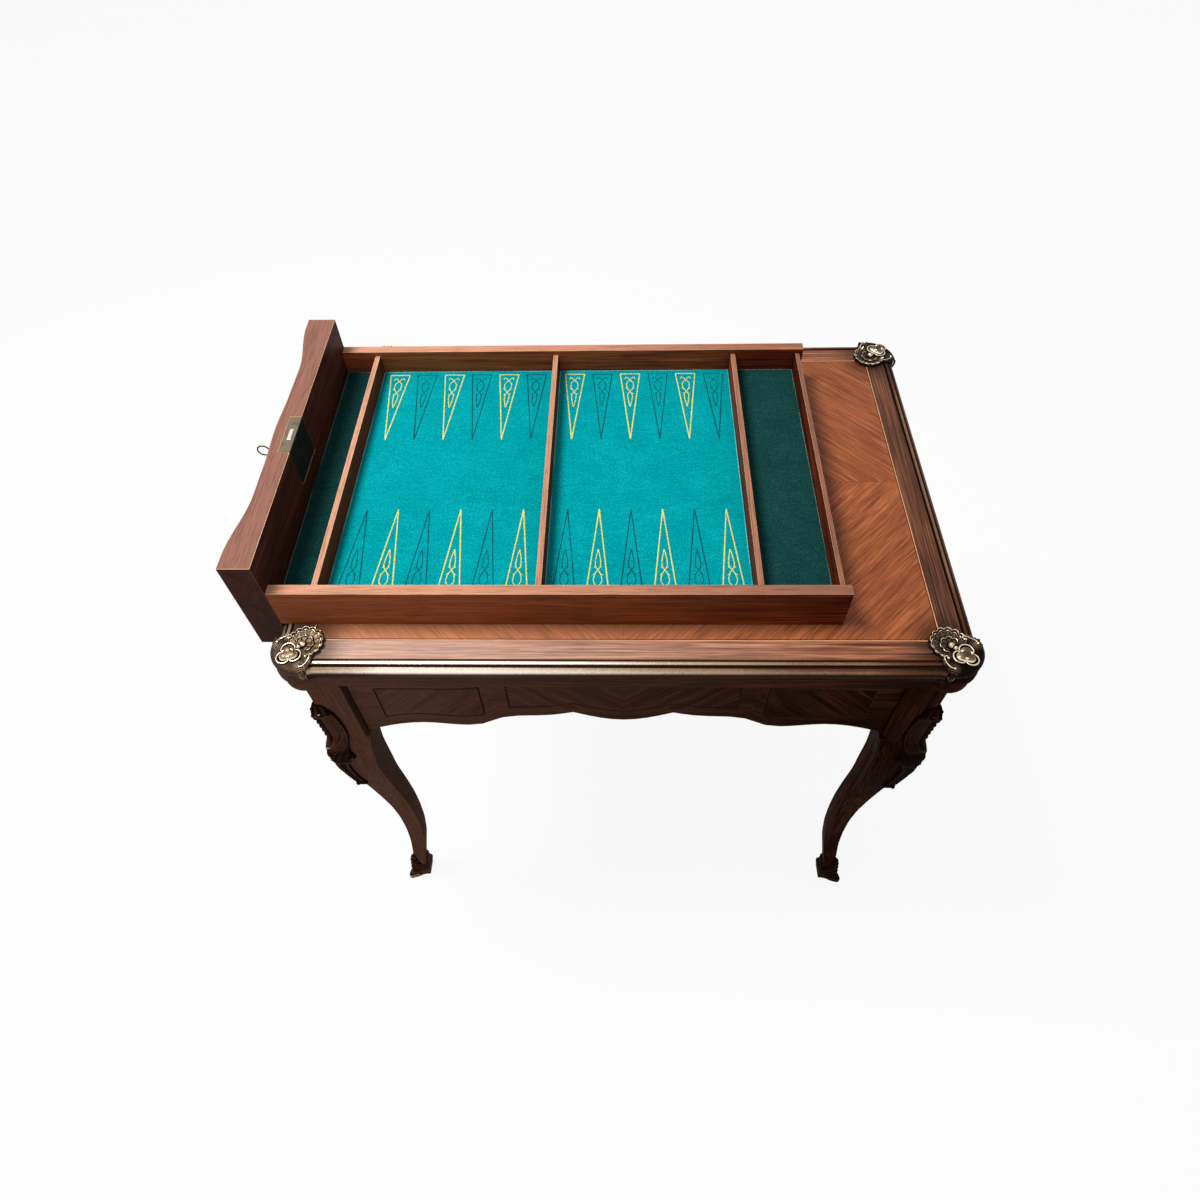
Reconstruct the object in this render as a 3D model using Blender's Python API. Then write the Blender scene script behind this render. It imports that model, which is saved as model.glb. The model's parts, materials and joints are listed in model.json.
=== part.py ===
# A games table with its backgammon drawer taken out and laid on the top.
# Lengths are metres, Z is up, X runs along the table and the front faces -Y.
import bpy
import bmesh
from math import acos, atan2, cos, exp, hypot, pi, radians, sin, sqrt
from mathutils import Vector

# Driving sizes
table_height = 0.760
top_length = 0.808              # over the brass edge, not counting the ears at the corners
top_width = 0.586
seat_gap = 0.0003               # between pieces that touch
overrun = 0.002                 # how far a cutter runs past a face

# Outline of the top: straight sides that swell into round ears at the corners
ear_radius = 0.033
ear_inset = 0.026               # from the straight sides in to the ear's centre
ear_hollow = 0.015              # radius of the hollow between a side and an ear
ear_steps = 6
hollow_steps = 4

# Layers of the top, from the surface down
veneer_thick = 0.0025
brass_depth = 0.0205            # height of the brass edge
moulding_depth = 0.0295         # height of the wood moulding under it
brass_width = 0.0135            # from the outermost brass in to the wood
band_width = 0.0255
stringing_width = 0.002

# Legs and frame
leg_overhang = 0.016            # from the outermost brass in to the legs
leg_block_x = 0.045
leg_block_y = 0.0505
apron_setback = 0.008           # the aprons lie behind the faces of the legs
apron_thick = 0.031
apron_recess = 0.0115           # how far the serpentine falls back
apron_height = 0.1457

# Drawer
tray_rest_y = -0.0066           # where the drawer lies on the top
tail_room = 0.0375              # behind the drawer when it is shut
board_height = 0.144
board_drop = 0.0394             # how far the front hangs below the sides
board_thick = 0.0375
board_recess = 0.0115
board_clear = 0.002             # between the hanging front and the edge of the top
side_thick = 0.014
side_height = 0.059
drawer_side_clear = 0.002
drawer_head_clear = 0.0015

# Places worked out from the sizes above
half_length = top_length / 2
half_width = top_width / 2
top_thick = brass_depth + moulding_depth
frame_top = table_height - top_thick - seat_gap
leg_x = half_length - leg_overhang
leg_y = half_width - leg_overhang
housing_half = leg_y - leg_block_y
apron_face_x = leg_x - apron_setback
apron_face_y = leg_y - apron_setback
block_low = frame_top - apron_height        # the legs are square above this
closed_side_bottom = table_height - top_thick - drawer_head_clear - (board_height - board_drop)
closed_side_top = closed_side_bottom + side_height
housing_floor = closed_side_bottom - seat_gap
closed_front_x = -leg_x + board_thick
tray_width = 2 * (housing_half - drawer_side_clear)
tray_length = apron_face_x - apron_thick - tail_room - closed_front_x
tray_x = -(half_length + board_clear)

# Serpentine and scallop, as shares of a half span outward from the middle
# Each scallop share is (place, depth, whether the curve comes to a point there)
scallop_shares = ((0.0, 0.911, False), (0.192, 0.787, True), (0.33, 0.859, False), (0.47, 0.871, False),
                  (0.60, 0.897, False), (0.77, 0.850, False), (1.0, 1.0, True))
long_recess_shares = ((0.0, 0.86), (0.30, 1.0), (0.43, 1.0), (0.57, 0.0), (1.0, 0.0))
short_recess_shares = ((0.0, 0.76), (0.30, 0.97), (0.52, 1.0), (0.92, 0.0), (1.0, 0.0))

corners = {"front_left": (-1, -1), "front_right": (1, -1), "back_left": (-1, 1), "back_right": (1, 1)}
sides = ("front", "back", "left", "right")


def clear_scene():
    for item in list(bpy.data.objects):
        bpy.data.objects.remove(item, do_unlink=True)


def finish(name, colour, roughness, metallic=0.0):
    item = bpy.data.materials.new(name)
    item.use_nodes = True
    shader = item.node_tree.nodes["Principled BSDF"]
    shader.inputs["Base Color"].default_value = (*colour, 1.0)
    shader.inputs["Roughness"].default_value = roughness
    shader.inputs["Metallic"].default_value = metallic
    return item


def frame(name, parent, place):
    item = bpy.data.objects.new(name, None)
    bpy.context.scene.collection.objects.link(item)
    item.parent = parent
    item.location = place
    return item


def add(name, mesh, material, parent, place=(0, 0, 0), round_below=None):
    data = bpy.data.meshes.new(name)
    mesh.to_mesh(data)
    mesh.free()
    data.materials.append(material)
    item = bpy.data.objects.new(name, data)
    bpy.context.scene.collection.objects.link(item)
    item.parent = parent
    item.location = place
    if round_below is not None:
        data.shade_smooth()
        data.set_sharp_from_angle(angle=round_below)
    return item


def tool(name, mesh, parent, place=(0, 0, 0)):
    item = add(name, mesh, steel, parent, place)
    item.hide_render = True
    item.display_type = 'WIRE'
    return item


def combine(target, other, operation):
    step = target.modifiers.new(operation.title(), 'BOOLEAN')
    step.operation = operation
    step.solver = 'EXACT'
    step.object = other


def loft(rings):
    mesh = bmesh.new()
    rows = [[mesh.verts.new(point) for point in ring] for ring in rings]
    for low, high in zip(rows, rows[1:]):
        for k in range(len(low)):
            n = (k + 1) % len(low)
            mesh.faces.new((low[k], low[n], high[n], high[k]))
    mesh.faces.new(tuple(reversed(rows[0])))
    mesh.faces.new(tuple(rows[-1]))
    bmesh.ops.recalc_face_normals(mesh, faces=mesh.faces)
    return mesh


def block(low, high):
    ring = ((low[0], low[1]), (high[0], low[1]), (high[0], high[1]), (low[0], high[1]))
    return loft([[(x, y, z) for x, y in ring] for z in (low[2], high[2])])


def ring_plate(outer, inner, low_z, high_z):
    # a flat plate with a rectangular hole, both given as low and high corners
    mesh = bmesh.new()

    def rectangle(box, z):
        (x0, y0), (x1, y1) = box
        return [mesh.verts.new(point) for point in ((x0, y0, z), (x1, y0, z), (x1, y1, z), (x0, y1, z))]

    loops = [rectangle(outer, low_z), rectangle(outer, high_z),
             rectangle(inner, high_z), rectangle(inner, low_z)]
    for low, high in zip(loops, loops[1:] + loops[:1]):
        for k in range(4):
            n = (k + 1) % 4
            mesh.faces.new((low[k], low[n], high[n], high[k]))
    bmesh.ops.recalc_face_normals(mesh, faces=mesh.faces)
    return mesh


def blend(value, shares):
    # smooth steps between the places in a table of shares
    for (p0, v0), (p1, v1) in zip(shares, shares[1:]):
        if value <= p1:
            t = (value - p0) / (p1 - p0)
            return v0 + (v1 - v0) * t * t * (3 - 2 * t)
    return shares[-1][1]


def scallop(value):
    for (p0, v0, sharp0), (p1, v1, sharp1) in zip(scallop_shares, scallop_shares[1:]):
        if value <= p1:
            t = (value - p0) / (p1 - p0)
            if sharp1:
                ease = 1 - cos(t * pi / 2)
            elif sharp0:
                ease = sin(t * pi / 2)
            else:
                ease = t * t * (3 - 2 * t)
            return v0 + (v1 - v0) * ease
    return scallop_shares[-1][1]


def spread(steps):
    # stations from -1 to 1 that always hit both ends, the middle and the points of the scallop
    places = {p for p, depth, sharp in scallop_shares}
    places |= {k / steps for k in range(steps + 1)}
    near = 0.4 / steps
    kept = sorted(p for p, depth, sharp in scallop_shares)
    for p in sorted(places):
        if all(abs(p - q) > near for q in kept):
            kept.append(p)
    kept = sorted(kept)
    return [-p for p in reversed(kept[1:])] + kept


# The outline of the top

def edge_path(half_run, half_across, inset, with_ears):
    # one side of the outline, the side that faces -Y, from the left ear to the right one
    reach = ear_radius + ear_hollow
    lean = acos((ear_inset + ear_hollow) / reach)
    ear = Vector((-half_run + ear_inset, -half_across + ear_inset))
    hollow = ear + reach * Vector((sin(lean), -cos(lean)))
    half = []
    if with_ears:
        for k in range(ear_steps):
            t = -pi / 4 + (lean + pi / 4) * k / ear_steps
            half.append(ear + (ear_radius - inset) * Vector((sin(t), -cos(t))))
    for k in range(hollow_steps + 1):
        t = lean * (1 - k / hollow_steps)
        half.append(hollow - (ear_hollow + inset) * Vector((sin(t), -cos(t))))
    return half + [Vector((-p.x, p.y)) for p in reversed(half)]


def side_path(side, inset, with_ears=True):
    if side in ("front", "back"):
        path = edge_path(half_length, half_width, inset, with_ears)
    else:
        path = edge_path(half_width, half_length, inset, with_ears)
    turned = {"front": lambda p: (p.x, p.y), "back": lambda p: (-p.x, -p.y),
              "left": lambda p: (p.y, -p.x), "right": lambda p: (-p.y, p.x)}[side]
    return [turned(p) for p in path]


def whole_outline(inset):
    points = []
    for side in ("front", "right", "back", "left"):
        points += side_path(side, inset)[:-1]
    return points


def mitred_piece(side, levels, inner_x, inner_y):
    # outer edge follows the outline, each level a height and an inset, the inner edge is straight
    across = {"front": ((-1, -1), (1, -1)), "right": ((1, -1), (1, 1)),
              "back": ((1, 1), (-1, 1)), "left": ((-1, 1), (-1, -1))}[side]
    trim = seat_gap / 2
    along = {"front": (1, 0), "right": (0, 1), "back": (-1, 0), "left": (0, -1)}[side]
    rings = []
    for z, inset in levels:
        outer = side_path(side, inset)
        inner = [(sx * inner_x, sy * inner_y) for sx, sy in reversed(across)]
        first, last = outer[0], outer[-1]
        outer[0] = (first[0] + trim * along[0], first[1] + trim * along[1])
        outer[-1] = (last[0] - trim * along[0], last[1] - trim * along[1])
        inner[0] = (inner[0][0] - trim * along[0], inner[0][1] - trim * along[1])
        inner[1] = (inner[1][0] + trim * along[0], inner[1][1] + trim * along[1])
        rings.append([(x, y, z) for x, y in outer + inner])
    return loft(rings)


def build_top():
    wood_x = half_length - brass_width - band_width
    wood_y = half_width - brass_width - band_width
    line_x = wood_x - seat_gap
    line_y = wood_y - seat_gap
    field_x = line_x - stringing_width
    field_y = line_y - stringing_width
    veneer_low = table_height - veneer_thick
    core_low = table_height - brass_depth
    wood_inset = brass_width + seat_gap

    outline = whole_outline(wood_inset)
    add("top_core", loft([[(x, y, z) for x, y in outline] for z in (core_low, veneer_low - seat_gap)]),
        carcase_wood, root)
    add("top_field", block((-field_x + seat_gap, -field_y + seat_gap, veneer_low),
                           (field_x - seat_gap, field_y - seat_gap, table_height)), field_veneer, root)
    add("top_stringing", ring_plate(((-line_x, -line_y), (line_x, line_y)),
                                    ((-field_x, -field_y), (field_x, field_y)),
                                    veneer_low, table_height), light_wood, root)
    for side in sides:
        levels = ((veneer_low, wood_inset), (table_height, wood_inset))
        add("top_band_" + side, mitred_piece(side, levels, wood_x, wood_y), band_veneer, root)
    build_brass_edges()
    build_mouldings(core_low - seat_gap)
    for name, (sx, sy) in corners.items():
        build_corner_mount(name, sx, sy)


# The brass edge: a thin fillet level with the top, a quirk and a half round
fillet_width = 0.0038
quirk_width = 0.0016
quirk_depth = 0.0048
torus_radius = 0.0078
torus_steps = 7
brass_end_gap = 0.0004


def build_brass_edges():
    top = table_height
    low = top - brass_depth + seat_gap
    fillet_inset = brass_width - fillet_width
    quirk_inset = fillet_inset - quirk_width
    torus_z = low + torus_radius
    profile = [(brass_width, low), (brass_width, top), (fillet_inset, top), (fillet_inset, top - quirk_depth),
               (quirk_inset, top - quirk_depth)]
    for k in range(torus_steps + 1):
        turn = radians(75) - (radians(75) + pi / 2) * k / torus_steps
        profile.append((torus_radius * (1 - cos(turn)), torus_z + torus_radius * sin(turn)))
    for side in sides:
        rows = [side_path(side, inset, with_ears=False) for inset, z in profile]
        count = len(rows[0])
        rings = [[(rows[j][k][0], rows[j][k][1], z) for j, (inset, z) in enumerate(profile)]
                 for k in range(count)]
        shift_end(rings[0], rings[1])
        shift_end(rings[-1], rings[-2])
        add("brass_edge_" + side, loft(rings), brass, root, round_below=radians(40))


def shift_end(ring, neighbour):
    # an end face steps back from its corner mount by the running gap
    for k, (point, inward) in enumerate(zip(ring, neighbour)):
        step = Vector(inward) - Vector(point)
        ring[k] = tuple(Vector(point) + step.normalized() * brass_end_gap)


# The dark wood moulding under the brass, a mitred frame that the core lies on
moulding_lip = 0.005
moulding_lip_inset = 0.0014
moulding_face_inset = 0.0042
moulding_round = 0.006
moulding_rail = 0.058
mortise_clear = 0.0012          # round the bolt where it shoots up into the moulding


def build_mouldings(top):
    low = top - moulding_depth + seat_gap
    levels = [(top, moulding_lip_inset), (top - moulding_lip, moulding_lip_inset),
              (top - moulding_lip - moulding_lip_inset / 2, moulding_face_inset),
              (low + moulding_round, moulding_face_inset)]
    for k in (1, 2, 3):
        turn = k / 3 * pi / 2
        levels.append((low + moulding_round * (1 - sin(turn)),
                       moulding_face_inset + moulding_round * (1 - cos(turn))))
    for side in sides:
        mesh = mitred_piece(side, levels, half_length - moulding_rail, half_width - moulding_rail)
        piece = add("top_moulding_" + side, mesh, dark_wood, root, round_below=radians(40))
        if side == "left":
            half_x = bolt_thick / 2 + mortise_clear
            half_y = bolt_width / 2 + mortise_clear
            mortise = block((-half_x, -half_y, -overrun), (half_x, half_y, bolt_travel + mortise_clear))
            place = (closed_front_x - bolt_inset, lock_shift, low)
            combine(piece, tool("cut_bolt_mortise", mortise, root, place), 'DIFFERENCE')


# Corner mounts: a shell fan on the top and a cartouche that wraps the ear
mount_proud = 0.0018            # how far the casting stands out past the brass edge
mount_skin = 0.0022             # thinnest metal over the top
mount_lobes = 9
fan_radius = 0.0255
fan_shift = 0.0085              # from the ear's centre in to the fan's centre
fan_rise = 0.0026
fan_rib = 0.0009
fan_scallop = 0.0011
boss_reach = 0.0125             # from the ear's centre out to the cartouche
boss_radius = 0.0105
boss_height = 0.0075
scroll_radius = 0.0140
scroll_width = 0.0022
scroll_height = 0.0038
root_radius = 0.0060
root_height = 0.0040
mount_shoulder = 0.0060         # how far below the top the casting turns over the edge
mount_ring_shares = (0.18, 0.36, 0.52, 0.66, 0.78, 0.88, 0.96)
mount_turns = 40


def mount_height(u, v):
    # relief over the top, u outward along the corner's diagonal and v across it
    from_fan = hypot(u + fan_shift, v)
    around = atan2(v, -(u - scroll_radius / 2))
    share = min(1.0, from_fan / fan_radius)
    height = mount_skin + fan_rise * share * share + fan_rib * share * cos(mount_lobes * 2 * around)
    height += root_height * exp(-(hypot(u + fan_shift / 2, v) / root_radius) ** 2)
    from_boss = hypot(u - boss_reach, v)
    height += scroll_height * exp(-((from_boss - scroll_radius) / scroll_width) ** 2)
    if from_boss < boss_radius:
        height = max(height, mount_skin + boss_height * sqrt(1 - (from_boss / boss_radius) ** 2))
    return height


def mount_stations():
    # angles about the ear's centre from straight out, each with whether the casting hangs down there
    lean = acos((ear_inset + ear_hollow) / (ear_radius + ear_hollow))
    limit = pi / 4 + lean - seat_gap / ear_radius
    hair = seat_gap / 2 / ear_radius
    hanging = 15
    lying = mount_turns - hanging
    stations = [(-limit + 2 * limit * k / (hanging - 1), True) for k in range(hanging)]
    first = limit + hair
    last = 2 * pi - limit - hair
    stations += [(first + (last - first) * k / (lying - 1), False) for k in range(lying)]
    return stations


def mount_reach(angle, hangs):
    if hangs:
        return ear_radius + mount_proud
    away = fan_shift * sin(angle)
    reach = -fan_shift * cos(angle) + sqrt(fan_radius ** 2 - away ** 2)
    around = atan2(reach * sin(angle), -(reach * cos(angle) - scroll_radius / 2))
    return reach + fan_scallop * abs(cos(mount_lobes * around)) - fan_scallop


def build_corner_mount(name, sx, sy):
    centre = Vector((sx * (half_length - ear_inset), sy * (half_width - ear_inset)))
    base_turn = atan2(sy, sx)
    top = table_height
    low = top - brass_depth + seat_gap
    wood_radius = ear_radius - brass_width + seat_gap
    lie_z = top + seat_gap
    stations = mount_stations()

    def at(radius, angle, z):
        turn = base_turn + angle
        return (centre.x + radius * cos(turn), centre.y + radius * sin(turn), z)

    mesh = bmesh.new()
    rows = []
    for share in mount_ring_shares:
        row = []
        for angle, hangs in stations:
            reach = mount_reach(angle, hangs)
            radius = reach * share
            height = mount_height(radius * cos(angle), radius * sin(angle))
            z = top + height
            if hangs and share > 0.9:
                z = top + height / 2
            row.append(mesh.verts.new(at(radius, angle, z)))
        rows.append(row)
    rim = []
    under = []
    inner = []
    seat = []
    for angle, hangs in stations:
        reach = mount_reach(angle, hangs)
        if hangs:
            rim.append(mesh.verts.new(at(reach, angle, top - mount_shoulder)))
            under.append(mesh.verts.new(at(reach - mount_proud, angle, low)))
            inner.append(mesh.verts.new(at(wood_radius, angle, low)))
            seat.append(mesh.verts.new(at(wood_radius, angle, lie_z)))
        else:
            edge = top + mount_skin / 2
            rim.append(mesh.verts.new(at(reach, angle, edge)))
            under.append(mesh.verts.new(at(reach, angle, lie_z)))
            inner.append(mesh.verts.new(at(reach - mount_proud / 2, angle, lie_z)))
            seat.append(mesh.verts.new(at(reach - mount_proud, angle, lie_z)))
    rows += [rim, under, inner, seat]
    for low_row, high_row in zip(rows, rows[1:]):
        for k in range(len(low_row)):
            n = (k + 1) % len(low_row)
            mesh.faces.new((low_row[k], low_row[n], high_row[n], high_row[k]))
    crown = mesh.verts.new(at(0, 0, top + mount_height(0, 0)))
    middle = mesh.verts.new(at(0, 0, lie_z))
    for k in range(len(stations)):
        n = (k + 1) % len(stations)
        mesh.faces.new((crown, rows[0][n], rows[0][k]))
        mesh.faces.new((middle, seat[k], seat[n]))
    bmesh.ops.recalc_face_normals(mesh, faces=mesh.faces)
    add("corner_mount_" + name, mesh, bronze, root, round_below=radians(50))


# Legs: a square corner block that runs down into a cabriole leg
leg_arris = 0.0032              # how far the outer arris is eased
leg_ease = 0.0016               # the other three arrises
leg_sweep = 0.0160              # how far the shin draws in from the block's corner
leg_foot_z = 0.0050
leg_slim = 0.0215               # width of the ankle
leg_knee_x = 0.0515             # widths of the knee, which swells out below the block
leg_knee_y = 0.0465
leg_shares = (
    # height below the block, sweep inward, width between ankle and knee
    (1.000, 0.00, 1.00), (0.998, 0.00, 0.98), (0.968, -0.17, 0.98), (0.939, -0.31, 1.00),
    (0.901, -0.40, 0.99), (0.857, -0.38, 0.94), (0.807, -0.24, 0.86), (0.756, -0.04, 0.75), (0.716, 0.12, 0.65),
    (0.674, 0.285, 0.575), (0.586, 0.60, 0.47), (0.498, 0.86, 0.37), (0.410, 0.98, 0.29), (0.321, 0.96, 0.235),
    (0.233, 0.81, 0.155), (0.158, 0.54, 0.055), (0.101, 0.30, 0.00), (0.050, 0.13, 0.03), (0.000, 0.00, 0.10))


def leg_section(share_row, ease=0.0):
    # a square with eased arrises, from the leg's outer corner inward along X and Y
    height, sweep, wide = share_row
    z = leg_foot_z + (block_low - leg_foot_z) * height
    s = leg_sweep * sweep - ease
    full_x, full_y = (leg_block_x, leg_block_y) if height >= 1 else (leg_knee_x, leg_knee_y)
    width_x = leg_slim + (full_x - leg_slim) * wide + 2 * ease
    width_y = leg_slim + (full_y - leg_slim) * wide + 2 * ease
    a = leg_arris
    e = leg_ease
    far_x = s + width_x
    far_y = s + width_y
    return z, [(s + a, s), (far_x - e, s), (far_x, s + e), (far_x, far_y - e), (far_x - e, far_y),
               (s + e, far_y), (s, far_y - e), (s, s + a), (s + a / 3, s + a / 3)]


def from_corner(sx, sy, points, z):
    return [(sx * (leg_x - a), sy * (leg_y - b), z) for a, b in points]


def build_legs():
    for name, (sx, sy) in corners.items():
        add("leg_" + name, leg_form(sx, sy, 0), dark_wood, root, round_below=radians(30))
        # the same form a hair larger, which the castings are hollowed out with
        form = tool("form_leg_" + name, leg_form(sx, sy, seat_gap), root)
        for casting in (build_sabot(name, sx, sy), build_knee_mount(name, sx, sy)):
            combine(casting, form, 'DIFFERENCE')


def leg_form(sx, sy, ease):
    block = leg_section(leg_shares[0], ease)[1]
    rings = [from_corner(sx, sy, block, frame_top)]
    for row in leg_shares:
        z, points = leg_section(row, ease)
        if row is leg_shares[-1]:
            z -= ease
        rings.append(from_corner(sx, sy, points, z))
    return loft(rings)


def leg_at(z):
    # the leg's row of shares at a height
    share = (z - leg_foot_z) / (block_low - leg_foot_z)
    for (h0, s0, w0), (h1, s1, w1) in zip(leg_shares, leg_shares[1:]):
        if h0 >= share >= h1:
            t = (share - h1) / (h0 - h1)
            return share, s1 + (s0 - s1) * t, w1 + (w0 - w1) * t
    return leg_shares[0] if share > 1 else leg_shares[-1]


# Sabots: bronze shoes with a scrolled toe and a leaf that climbs the arris
sabot_height = 0.058
sabot_wall = 0.0016
sabot_toe = 0.0080              # how far the toe runs out past both faces
sabot_leaf = 0.022              # how far the leaf climbs above the collar
sabot_shares = (
    # height, how far the toe runs out, how fat the wall is
    (0.0, 0.72, 0.9), (0.05, 0.95, 1.3), (0.12, 1.12, 1.6), (0.19, 1.08, 1.5), (0.26, 0.78, 1.1),
    (0.34, 0.44, 0.6), (0.46, 0.26, 0.35), (0.60, 0.30, 0.3), (0.68, 0.16, 0.2), (0.80, 0.26, 0.3),
    (0.87, 0.14, 0.2), (0.95, 0.20, 0.4), (1.0, 0.06, 0.2))
sabot_front_shares = {8: 1.0, 7: 0.7, 0: 0.7}   # the section's points on the front arris


def build_sabot(name, sx, sy):
    rings = []
    for height, toe, fat in sabot_shares:
        z = sabot_height * height
        points = leg_section(leg_at(max(z, leg_foot_z)), seat_gap + sabot_wall * (1 + fat))[1]
        ring = []
        for k, (a, b) in enumerate(points):
            front = sabot_front_shares.get(k, 0.0)
            step = sabot_toe * toe * front
            lift = sabot_leaf * height * front
            ring.append((sx * (leg_x - a + step), sy * (leg_y - b + step), z + lift))
        rings.append(ring)
    return add("sabot_" + name, loft(rings), bronze, root, round_below=radians(50))


# Knee mounts: a leaf tuft, a long C scroll round a plain panel, a knob and a forked tail
knee_drop = 0.0590              # from the top of the leg
knee_length = 0.243
knee_wing = 0.0235              # widest reach along each face of the leg past the arris
knee_bulge = 0.0135             # how far the point of the scroll stands out along the diagonal
knee_edge = 0.0012
knee_rim = 0.0030
knee_rows = 26
knee_across = 12
knee_scroll_shares = (0.07, 0.40)       # where the C scroll begins and ends, down the mount
knee_tail_share = 0.62                  # where the tail begins
knee_wing_shares = (
    (0.0, 0.22), (0.025, 0.42), (0.05, 0.56), (0.09, 0.74), (0.15, 0.84), (0.225, 0.90), (0.29, 0.90),
    (0.36, 0.80), (0.46, 0.74), (0.50, 0.82), (0.54, 1.00), (0.565, 0.96), (0.59, 0.72), (0.62, 0.45),
    (0.66, 0.32), (0.81, 0.24), (0.91, 0.22), (0.95, 0.30), (0.98, 0.24), (1.0, 0.10))
knee_bulge_shares = (
    (0.0, 0.20), (0.03, 0.48), (0.06, 0.70), (0.09, 0.74), (0.13, 0.64), (0.20, 0.60), (0.27, 0.56),
    (0.33, 0.58), (0.37, 0.78), (0.41, 1.00), (0.45, 0.92), (0.49, 0.84), (0.54, 0.70), (0.58, 0.60),
    (0.64, 0.46), (0.72, 0.40), (0.80, 0.36), (0.88, 0.34), (0.93, 0.36), (0.96, 0.42), (1.0, 0.14))


def between(value, shares):
    for (p0, v0), (p1, v1) in zip(shares, shares[1:]):
        if value <= p1:
            return v0 + (v1 - v0) * (value - p0) / (p1 - p0)
    return shares[-1][1]


def ridge(value, middle, width):
    return exp(-((value - middle) / width) ** 2)


def knee_relief(place, across):
    # how far the casting stands off the leg, across from 0 at the arris to 1 at the edge of a wing
    bulge = knee_bulge * between(place, knee_bulge_shares)
    dome = bulge * sqrt(1 - across * across)
    first, last = knee_scroll_shares
    if first < place < last:
        inside = sin(pi * (place - first) / (last - first))
        spine = 0.35 * (1 - across) + 0.65 * ridge(across, 0, 0.3)
        panel = bulge * spine + knee_rim * ridge(across, 0.8, 0.16)
        return knee_edge + dome + (panel - dome) * min(1.0, 2 * inside)
    if place > knee_tail_share:
        return knee_edge + dome * (0.72 + 0.28 * ridge(across, 0.42, 0.2))
    return knee_edge + dome


def build_knee_mount(name, sx, sy):
    rings = []
    for j in range(knee_rows + 1):
        place = j / knee_rows
        z = frame_top - knee_drop - knee_length * place
        s = leg_sweep * leg_at(z)[1]
        reach = leg_arris + knee_wing * between(place, knee_wing_shares)
        ring = []
        for k in range(knee_across + 1):
            p = -1 + 2 * k / knee_across
            turn = (p + 1) * pi / 4
            out = knee_relief(place, abs(p))
            ring.append((s + reach * max(0.0, -p) - out * sin(turn),
                         s + reach * max(0.0, p) - out * cos(turn)))
        ring += [(s + overrun, s + reach), (s + reach, s + overrun)]
        rings.append(from_corner(sx, sy, ring, z))
    return add("knee_mount_" + name, loft(rings), bronze, root, round_below=radians(50))


# Aprons, rails, runners and the other pieces of the frame
apron_steps = 22
upper_rail_thick = 0.020
lower_rail_deep = 0.040
lower_rail_thick = 0.010
rail_head_clear = 0.003
tenon_thick = 0.010
tenon_reach = 0.016
tenon_shoulder = 0.014          # above and below a tenon
runner_width = 0.028
runner_thick = 0.008
kicker_width = 0.014
stop_length = 0.018
stop_height = 0.034
tenon_legs = {"front": ("front_left", "front_right"), "back": ("back_right", "back_left"),
              "right": ("front_right", "back_right")}


def serpentine(half_span, face, back, recess_shares, recess, height, steps, top):
    # a board along X whose outer face lies at -Y, falls back in the middle and has a scalloped edge
    rings = []
    for place in spread(steps):
        x = half_span * place
        outer = -face + recess * blend(abs(place), recess_shares)
        low = top - height * scallop(abs(place))
        rings.append([(x, outer, top), (x, outer, low), (x, -back, low), (x, -back, top)])
    return loft(rings)


def turned_copy(mesh, turns):
    for vertex in mesh.verts:
        x, y, z = vertex.co
        vertex.co = {0: (x, y, z), 1: (-y, x, z), 2: (-x, -y, z), 3: (y, -x, z)}[turns]
    return mesh


def tenon_apron(apron, half_span, middle, turns, side):
    # a stub tenon on each end of the apron, and a mortise for it in the leg
    low_z = block_low + tenon_shoulder
    high_z = frame_top - tenon_shoulder
    for end, corner in ((-1, 0), (1, 1)):
        for grow in (0, seat_gap):
            start = half_span - overrun
            stop = half_span + tenon_reach
            low = (start, -middle - tenon_thick / 2 - grow, low_z - grow)
            high = (stop + grow, -middle + tenon_thick / 2 + grow, high_z + grow)
            if end < 0:
                low, high = (-high[0], low[1], low[2]), (-low[0], high[1], high[2])
            mesh = turned_copy(block(low, high), turns)
            if grow:
                leg = bpy.data.objects["leg_" + tenon_legs[side][corner]]
                combine(leg, tool("cut_mortise_" + side, mesh, root), 'DIFFERENCE')
            else:
                combine(apron, tool("join_tenon_" + side, mesh, root), 'UNION')


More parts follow.
